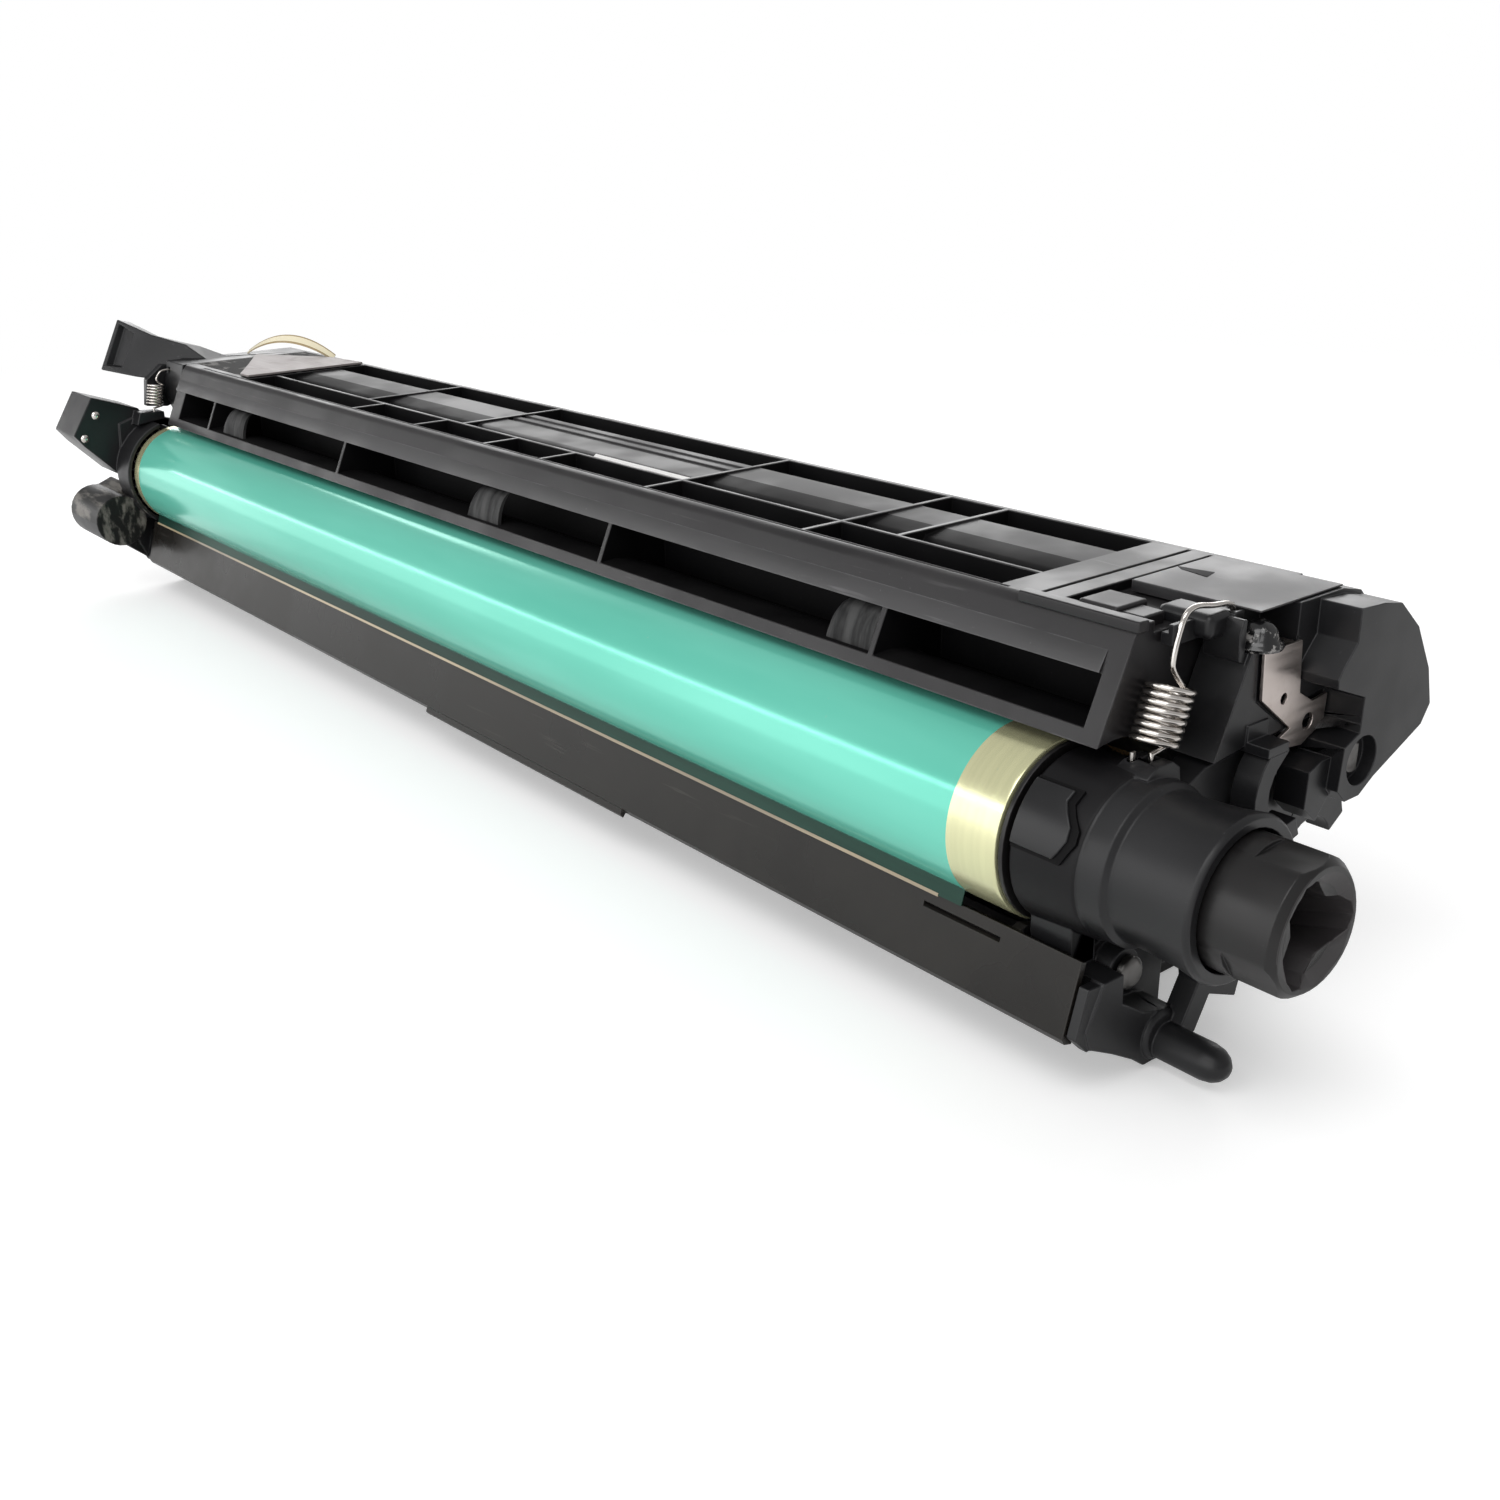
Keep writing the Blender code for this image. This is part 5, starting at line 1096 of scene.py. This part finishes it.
        # The bead's paler finish is a painted highlight line along the rail's top edge.
        highlight_bead = extruded("rail_highlight_bead", [self.front(*spot) for spot in self.highlight_bead], self.far_x + 0.2,
                        self.highlight_bead_near_x)
        # The near-white strip is a painted highlight on the wide crown's front edge.
        highlight_strip = extruded("duct_edge_highlight_strip", self.highlight_strip, *self.highlight_strip_x)
        for obj, finish in ((skin, SHARD_PLASTIC), (highlight_bead, COVER_PLASTIC), (highlight_strip, EDGE_HIGHLIGHT_FILM)):
            joins(obj, node, finish)
        for index, (start, width) in enumerate(self.clip_starts, start=1):
            stands_for(self.clip(index, start, width), f"window_clip_{index}", CLIP_FILM)

    def clip(self, index: int, start: float, width: float) -> Object:
        """A curled clip from the window's top to its sill, with its far upper corner rounded off.

        Args:
            index: the clip's number.
            start: its far side along X.
            width: how wide it is.

        Returns:
            The new clip.
        """
        top, drop = self.front(self.clip_top), self.clip_drop
        turns = [math.radians(self.clip_turn * k / self.clip_steps) for k in range(self.clip_steps + 1)]
        outer = [(top[0] + self.clip_hold[0] - self.clip_bulge * math.sin(turn),
                  top[1] + self.clip_hold[1] - drop * (1 - math.cos(turn))) for turn in turns]
        inner = [(y + 0.8, z - 0.2) for y, z in outer[:1]] + [(y + 0.9, z + 0.25) for y, z in outer[2:]]
        outline = outer + inner[::-1]
        sill = outer[-1][1]
        sections = []
        for share in self.clip_shares:
            kept = 1 - self.clip_corner * (1 - math.sqrt(1 - (1 - share) ** 2)) / drop
            x = start - 0.8 + self.clip_corner * share
            sections.append([place(x, y, sill + (z - sill) * kept) for y, z in outline])
        sections.append([place(start + width, y, z) for y, z in outline])
        return lofted(f"window_clip_{index}_curled", sections)


@dataclass
class DriveEndTop:
    """The cover over the frame's drive end, what stands before it, and the sealed contact screw."""

    cover_y: Flat = (21.2, 42.7)
    cover_x: Flat = (-4.2, 19.3)
    step_x: float = 12.2
    step_z: float = 33.86
    under_z: float = 32.3
    top: float = 34.2
    patch: tuple[Flat, ...] = ((-4.0, 32.6), (-2.6, 31.6), (3.0, 30.6), (2.2, 33.8), (-0.6, 33.2))
    screw: Flat = (18.7, 22.3)
    seal: tuple[Flat, ...] = ((27.9, 0), (27.9, 1.2), (28.4, 1.3), (28.4, 3.6), (28.9, 3.8), (29.4, 3.4),
                              (29.9, 2.9), (31.2, 2.5), (32.1, 1.7), (32.5, 0.8), (32.6, 0))
    swell: float = 0.16
    swell_z: float = 28.6

    def make(self) -> None:
        """Build each piece and dress it."""
        room = [block("screw_room", (16.4, 18.2, 28.35), (21.6, 26.4, 36.0)),
                block("ring_relief", (20.4, 18.6, 14.4), (24.8, 25.2, 17.6))]
        softened("drive_end_cap", BRACKET_PLASTIC, 0.16, cutters=room)
        low, high = self.cover_x
        outline = [(low, -self.under_z), (self.step_x, -self.under_z), (self.step_x, -self.step_z),
                   (high, -self.step_z), (high, -self.top), (low, -self.top)]
        cover = extruded("top_cover_plate", outline, *self.cover_y, Axis.Y, 0.18)
        stands_for(cover, "top_cover", COVER_PLASTIC)
        frame_node, cap_node = "cleaner_frame", "drive_end_cap"
        for obj, finish, node in (
            (extruded("cover_patch", self.patch, self.top - 0.05, self.top + 0.06, Axis.Z), SHADE_AND_DARK_PATCH_BLACK,
             frame_node),
            (block("raised_block", (-2.6, 6.4, 31.6), (4.8, 13.8, 34.5), 0.5), FRAME_PLASTIC, frame_node),
            (block("raised_step", (4.6, 7.2, 31.6), (9.0, 12.4, 33.9), 0.4), FRAME_PLASTIC, frame_node),
            (block("crest_lip", (-11.6, 3.0, 32.6), (11.6, 5.4, 34.5), 0.35), FRAME_PLASTIC, frame_node),
            (block("spring_peg_head", (6.6, 13.2, 30.4), (16.4, 18.9, 34.3), 1.1), BRACKET_PLASTIC, cap_node),
        ):
            joins(obj, node, finish)
        self.screw_seal()

    def screw_seal(self) -> None:
        """The contact screw's head under its lump of seal, which swells unevenly towards its top and is
        flecked with painted glints.
        """
        cap = turned("contact_screw_seal", self.seal, self.screw, Axis.Z, 32)
        for vertex in cap.data.vertices:
            spot = (vertex.co - AXIS_PLACE) / MM
            if spot.z > self.swell_z:
                wave = math.sin(2.6 * spot.x + 1.1) * math.sin(2.9 * spot.y)
                out = Vector((spot.x - self.screw[0], spot.y - self.screw[1], 1.0))
                vertex.co += out * (self.swell * wave * (spot.z - 28.0) / 4) * MM * 0.5
        # The seal's pale specks are painted glints.
        stands_for(cap, "contact_screw", SEAL_BLACK_WITH_GLINTS)


@dataclass
class Ends:
    """The brackets at both ends, with the pad's seam, the worn boss, the studs and the films."""

    hub: float = 14.0
    hub_x: Flat = (0.5, 15.6)
    hub_band: Flat = (12.6, 14.04)
    seam_x: float = 4.0
    seam: tuple[Flat, ...] = ((123.5, 12.4), (134.0, 12.3), (141.0, 13.5), (148.0, 15.0), (156.0, 15.2),
                              (163.0, 14.3), (171.5, 13.2))
    boss_back: float = -12.5
    boss_top: float = -3.5
    studs: tuple[Flat, ...] = ((-20.6, 19.4), (-24.9, 12.8))
    stud_x: float = FAR_X - 10.2
    shield_top: Flat = polar(17.261, -127.47)
    shield_slant: float = 16.4
    film_x: Flat = (FAR_X + 3.0, -8.0)
    film_edge_x: Flat = (FAR_X + 3.0, -13.0)
    # The seal film's outline reaches up above the shield's top to carry the painted shade of the drum.
    film: tuple[Flat, ...] = ((-2.7, 0.3), (-2.7, 0.42), (0.1, 0.5), (0.1, 0.34))
    film_edge: tuple[Flat, ...] = ((-0.25, 0.56), (0.32, 0.56), (0.32, 0.3), (-0.25, 0.3))
    arch_guide: tuple[Point, ...] = ((FAR_X - 6.0, 29.4, 34.4), (FAR_X + 12.0, 36.0, 45.4),
                                     (FAR_X + 26.0, 44.0, 34.4))
    arch_across: Point = (1.4, -2.4, -1.7)
    arch_thick: Point = (0.0, 0.12, 0.28)
    arch_steps: int = 24
    cheek: tuple[Flat, ...] = ((-4.6, 20.4), (-3.4, 28.5), (2.0, 32.6), (12.0, 31.0), (9.0, 22.0),
                               (2.0, 19.6))
    cheek_x: Flat = (FAR_X - 12.4, FAR_X - 9.6)

    def shield(self, drop: float, out: float = 0.0) -> Flat:
        """A point at a drop down the shield's face, and a distance before it.

        Args:
            drop: how far down the face.
            out: how far before it.

        Returns:
            The (y, z) point.
        """
        lean = math.radians(self.shield_slant)
        return (self.shield_top[0] - drop * math.sin(lean) - out * math.cos(lean),
                self.shield_top[1] - drop * math.cos(lean) + out * math.sin(lean))

    def on_hub(self, spot: Vector, _normal: Vector) -> bool:
        """Whether a face is on the round of the drive end's hub."""
        return within(spot.x, self.hub_x) and within(math.hypot(spot.y, spot.z), self.hub_band)

    def on_boss(self, spot: Vector, normal: Vector) -> bool:
        """Whether a face is on the upper or inner side of the far end's boss."""
        return spot.y < self.boss_back and spot.z < self.boss_top and (normal.z > 0.1 or normal.x > 0.7)

    def make(self) -> None:
        """Build the pieces of both ends."""
        repainted(softened("drive_end_bracket", BRACKET_PLASTIC, 0.25), HUB_PLASTIC, self.on_hub)
        self.pad_seam()
        repainted(softened("far_end_bracket", BRACKET_PLASTIC, 0.35), BOSS_SCRAPED, self.on_boss)
        x = self.stud_x
        profile = [(x - 1, 0), (x - 1, 1.25), (x + 0.7, 1.25), (x + 1.2, 0.7), (x + 1.3, 0)]
        for index, centre in enumerate(self.studs, start=1):
            joins(turned(f"contact_stud_{index}", profile, centre, steps=20), "far_end_bracket", SPRING_STEEL)
        self.films()
        joins(extruded("cap_arm_cheek", self.cheek, *self.cheek_x, edge=0.4), "far_end_cap", BRACKET_PLASTIC)

    def pad_seam(self) -> None:
        """The dark gap round the pad on the hub."""
        sections = []
        for degrees, end in self.seam:
            inner, outer = polar(self.hub - 0.6, degrees), polar(self.hub + 0.07, degrees)
            sections.append([place(self.seam_x, *inner), place(end, *inner), place(end, *outer),
                             place(self.seam_x, *outer)])
        joins(lofted("hub_pad_seam", sections), "drive_end_bracket", SHADE_AND_DARK_PATCH_BLACK)

    def films(self) -> None:
        """The seal film and its tan edge along the shield, the film's dark green being painted shade of the
        drum's lower part, and the film that arches over the far end.
        """
        # The sheet's dark green, carried up above the shield's top, is painted shade of the drum's lower
        # part.
        sheet = extruded("seal_film_sheet", [self.shield(*spot) for spot in self.film], *self.film_x)
        stands_for(sheet, "shield_film", DRUM_SHADE_FILM)
        edge = extruded("seal_film_edge", [self.shield(*spot) for spot in self.film_edge], *self.film_edge_x)
        joins(edge, "shield_film", TAN_FILM)
        stands_for(self.arch("top_film_arch", 0.0, 1.0, 0.0), "top_film", CREAM_FILM)
        joins(self.arch("top_film_rim_front", 0.9, 1.02, 0.04), "top_film", RIM_FILM)
        joins(self.arch("top_film_rim_back", -0.02, 0.12, 0.04), "top_film", RIM_FILM)

    def arch(self, name: str, start: float, end: float, proud: float) -> Object:
        """A strip of the film's arch.

        Args:
            name: the object's name.
            start: where the strip starts, as a share of the film's width.
            end: where it ends.
            proud: how far it stands out on both faces, in millimetres.

        Returns:
            The strip as a closed body.
        """
        low, middle, high = (Vector(spot) for spot in self.arch_guide)
        thick = Vector(self.arch_thick)
        under, over = -proud * thick.normalized(), thick + proud * thick.normalized()
        sections = []
        for i in range(self.arch_steps + 1):
            t = i / self.arch_steps
            spot = low * (1 - t) ** 2 + middle * 2 * t * (1 - t) + high * t**2
            across = Vector(self.arch_across) * (0.5 + 0.5 * math.sin(math.pi * (0.1 + 0.8 * t)))
            sections.append([place(*(spot + across * share + offset)) for share, offset in
                             ((start, under), (end, under), (end, over), (start, over))])
        return lofted(name, sections)


@dataclass
class PlainNodes:
    """The nodes that keep their drawn mesh and only get a finish."""

    finishes: tuple[tuple[str, Finish], ...] = (
        ("charge_shaft", PIN_STEEL), ("foam_shaft", PIN_STEEL), ("blade_screw_1", PIN_STEEL),
        ("blade_screw_2", PIN_STEEL), ("idler_pin", PIN_STEEL), ("sleeve_lock_pin", SPRING_STEEL),
        ("far_contact_pin_1", SPRING_STEEL), ("far_contact_pin_2", SPRING_STEEL),
    )

    def make(self) -> None:
        """Dress each node."""
        for node, finish in self.finishes:
            obj = frame["nodes"][node]
            smooth(obj, 32)
            dressed(obj, finish)


@dataclass(frozen=True)
class Softbox:
    """One soft rectangular lamp aimed at a point, both in metres in the frame."""

    name: str
    spot: Point
    aim: Point
    size: Flat
    power: float

    def make(self) -> None:
        """Hang the lamp in the scene."""
        data = bpy.data.lights.new(self.name, "AREA")
        data.shape = "RECTANGLE"
        data.size, data.size_y = self.size
        data.energy = self.power
        obj = bpy.data.objects.new(self.name, data)
        obj.location = self.spot
        obj.rotation_euler = (Vector(self.aim) - Vector(self.spot)).to_track_quat("-Z", "Y").to_euler()
        bpy.context.scene.collection.objects.link(obj)


@dataclass
class Studio:
    """The floor, the soft lamps, the pale surroundings and the camera."""

    camera_place: Point = (146.35, -177.53, 103.29)
    azimuth: float = 51.12
    elevation: float = 21.78
    roll: float = -1.07
    lens: float = 38.4
    sensor: float = 36.0
    white_light: float = 0.5
    white_reflected: float = 0.42
    floor_drop: float = 0.0005
    lamps: tuple[Softbox, ...] = (
        Softbox("key_softbox", (0.3, -0.55, 0.9), aim=(0.0, 0.0, 0.03), size=(0.9, 0.5), power=4.0),
        Softbox("front_softbox", (-1.9, -0.85, 0.24), aim=(-1.9, 0.0, 0.03), size=(5.4, 0.5), power=11.0),
        Softbox("back_softbox", (-0.75, 0.75, 0.5), aim=(0.0, 0.0, 0.04), size=(1.5, 0.55), power=9.0),
        Softbox("drum_strip", (-1.9, -0.64, 0.335), aim=(-1.9, 0.0, 0.035), size=(5.2, 0.012), power=2.4),
    )

    def make(self) -> None:
        """Set up everything that isn't the object."""
        scene = bpy.context.scene
        scene.view_settings.view_transform = "Standard"
        self.surroundings(scene)
        self.floor()
        for lamp in self.lamps:
            lamp.make()
        self.camera(scene)

    def surroundings(self, scene: Scene) -> None:
        """A world that is white to the camera, and softer as light and in reflections.

        Args:
            scene: the scene that gets the world.
        """
        world = bpy.data.worlds.new("pale_surroundings")
        scene.world = world
        world.use_nodes = True
        graph = Graph(world.node_tree)
        rays = graph.add("LightPath").outputs
        reflected = graph.math("MAXIMUM", rays["Is Glossy Ray"], rays["Is Transmission Ray"])
        soft = graph.mixed(reflected, self.white_light, self.white_reflected)
        graph.feed(world.node_tree.nodes["Background"], {
            "Color": (1.0, 1.0, 1.0, 1.0),
            "Strength": graph.mixed(rays["Is Camera Ray"], soft, 1.0),
        })

    def floor(self) -> None:
        """A wide pale floor that keeps the shadow."""
        cage = bmesh.new()
        bmesh.ops.create_grid(cage, x_segments=1, y_segments=1, size=6.0)
        obj = new_object("studio_floor", cage)
        material = bpy.data.materials.new("floor_pale")
        material.use_nodes = True
        graph = Graph(material.node_tree)
        seen = graph.add("LightPath").outputs["Is Camera Ray"]
        spread = graph.add("VectorMath", {0: graph.spot()}, operation="LENGTH").outputs["Value"]
        far = graph.between(spread, 0.24, 0.75)
        graph.feed(material.node_tree.nodes["Principled BSDF"], {
            "Base Color": graph.blend(graph.math("MULTIPLY", far, seen), (0.86, 0.86, 0.86), (0.0, 0.0, 0.0)),
            "Roughness": 0.9,
            "Specular IOR Level": 0.0,
            "Emission Color": (1.0, 1.0, 1.0, 1.0),
            "Emission Strength": graph.math("MULTIPLY", seen, graph.mixed(far, 0.3, 1.0)),
        })
        obj.data.materials.append(material)
        obj.location.z = -self.floor_drop

    def camera(self, scene: Scene) -> None:
        """The camera at the photograph's viewing angle.

        Args:
            scene: the scene that gets the camera.
        """
        data = bpy.data.cameras.new("photo_camera")
        data.lens = self.lens
        data.sensor_width = self.sensor
        data.clip_start = 0.01
        obj = bpy.data.objects.new("photo_camera", data)
        azimuth, elevation, roll = (math.radians(a) for a in (self.azimuth, self.elevation, self.roll))
        ahead = Vector((-math.sin(azimuth) * math.cos(elevation), math.cos(azimuth) * math.cos(elevation),
                        -math.sin(elevation)))
        right = Vector((math.cos(azimuth), math.sin(azimuth), 0.0))
        above = right.cross(ahead)
        right, above = (right * math.cos(roll) + above * math.sin(roll),
                        above * math.cos(roll) - right * math.sin(roll))
        turn = Matrix((right, above, -ahead)).transposed().to_4x4()
        obj.matrix_world = Matrix.Translation(place(*self.camera_place)) @ turn
        scene.collection.objects.link(obj)
        scene.camera = obj


def main() -> None:
    """Build each sub-assembly in order and report it."""
    logging.basicConfig(level=logging.INFO, format="%(name)s: %(message)s")
    for part in (Drum(), Springs(), Mouldings(), Cleaner(), DriveEndTop(), Ends(), PlainNodes(), Studio()):
        part.make()
        LOG.info("%s made", type(part).__name__)


if __name__ == "__main__":
    main()
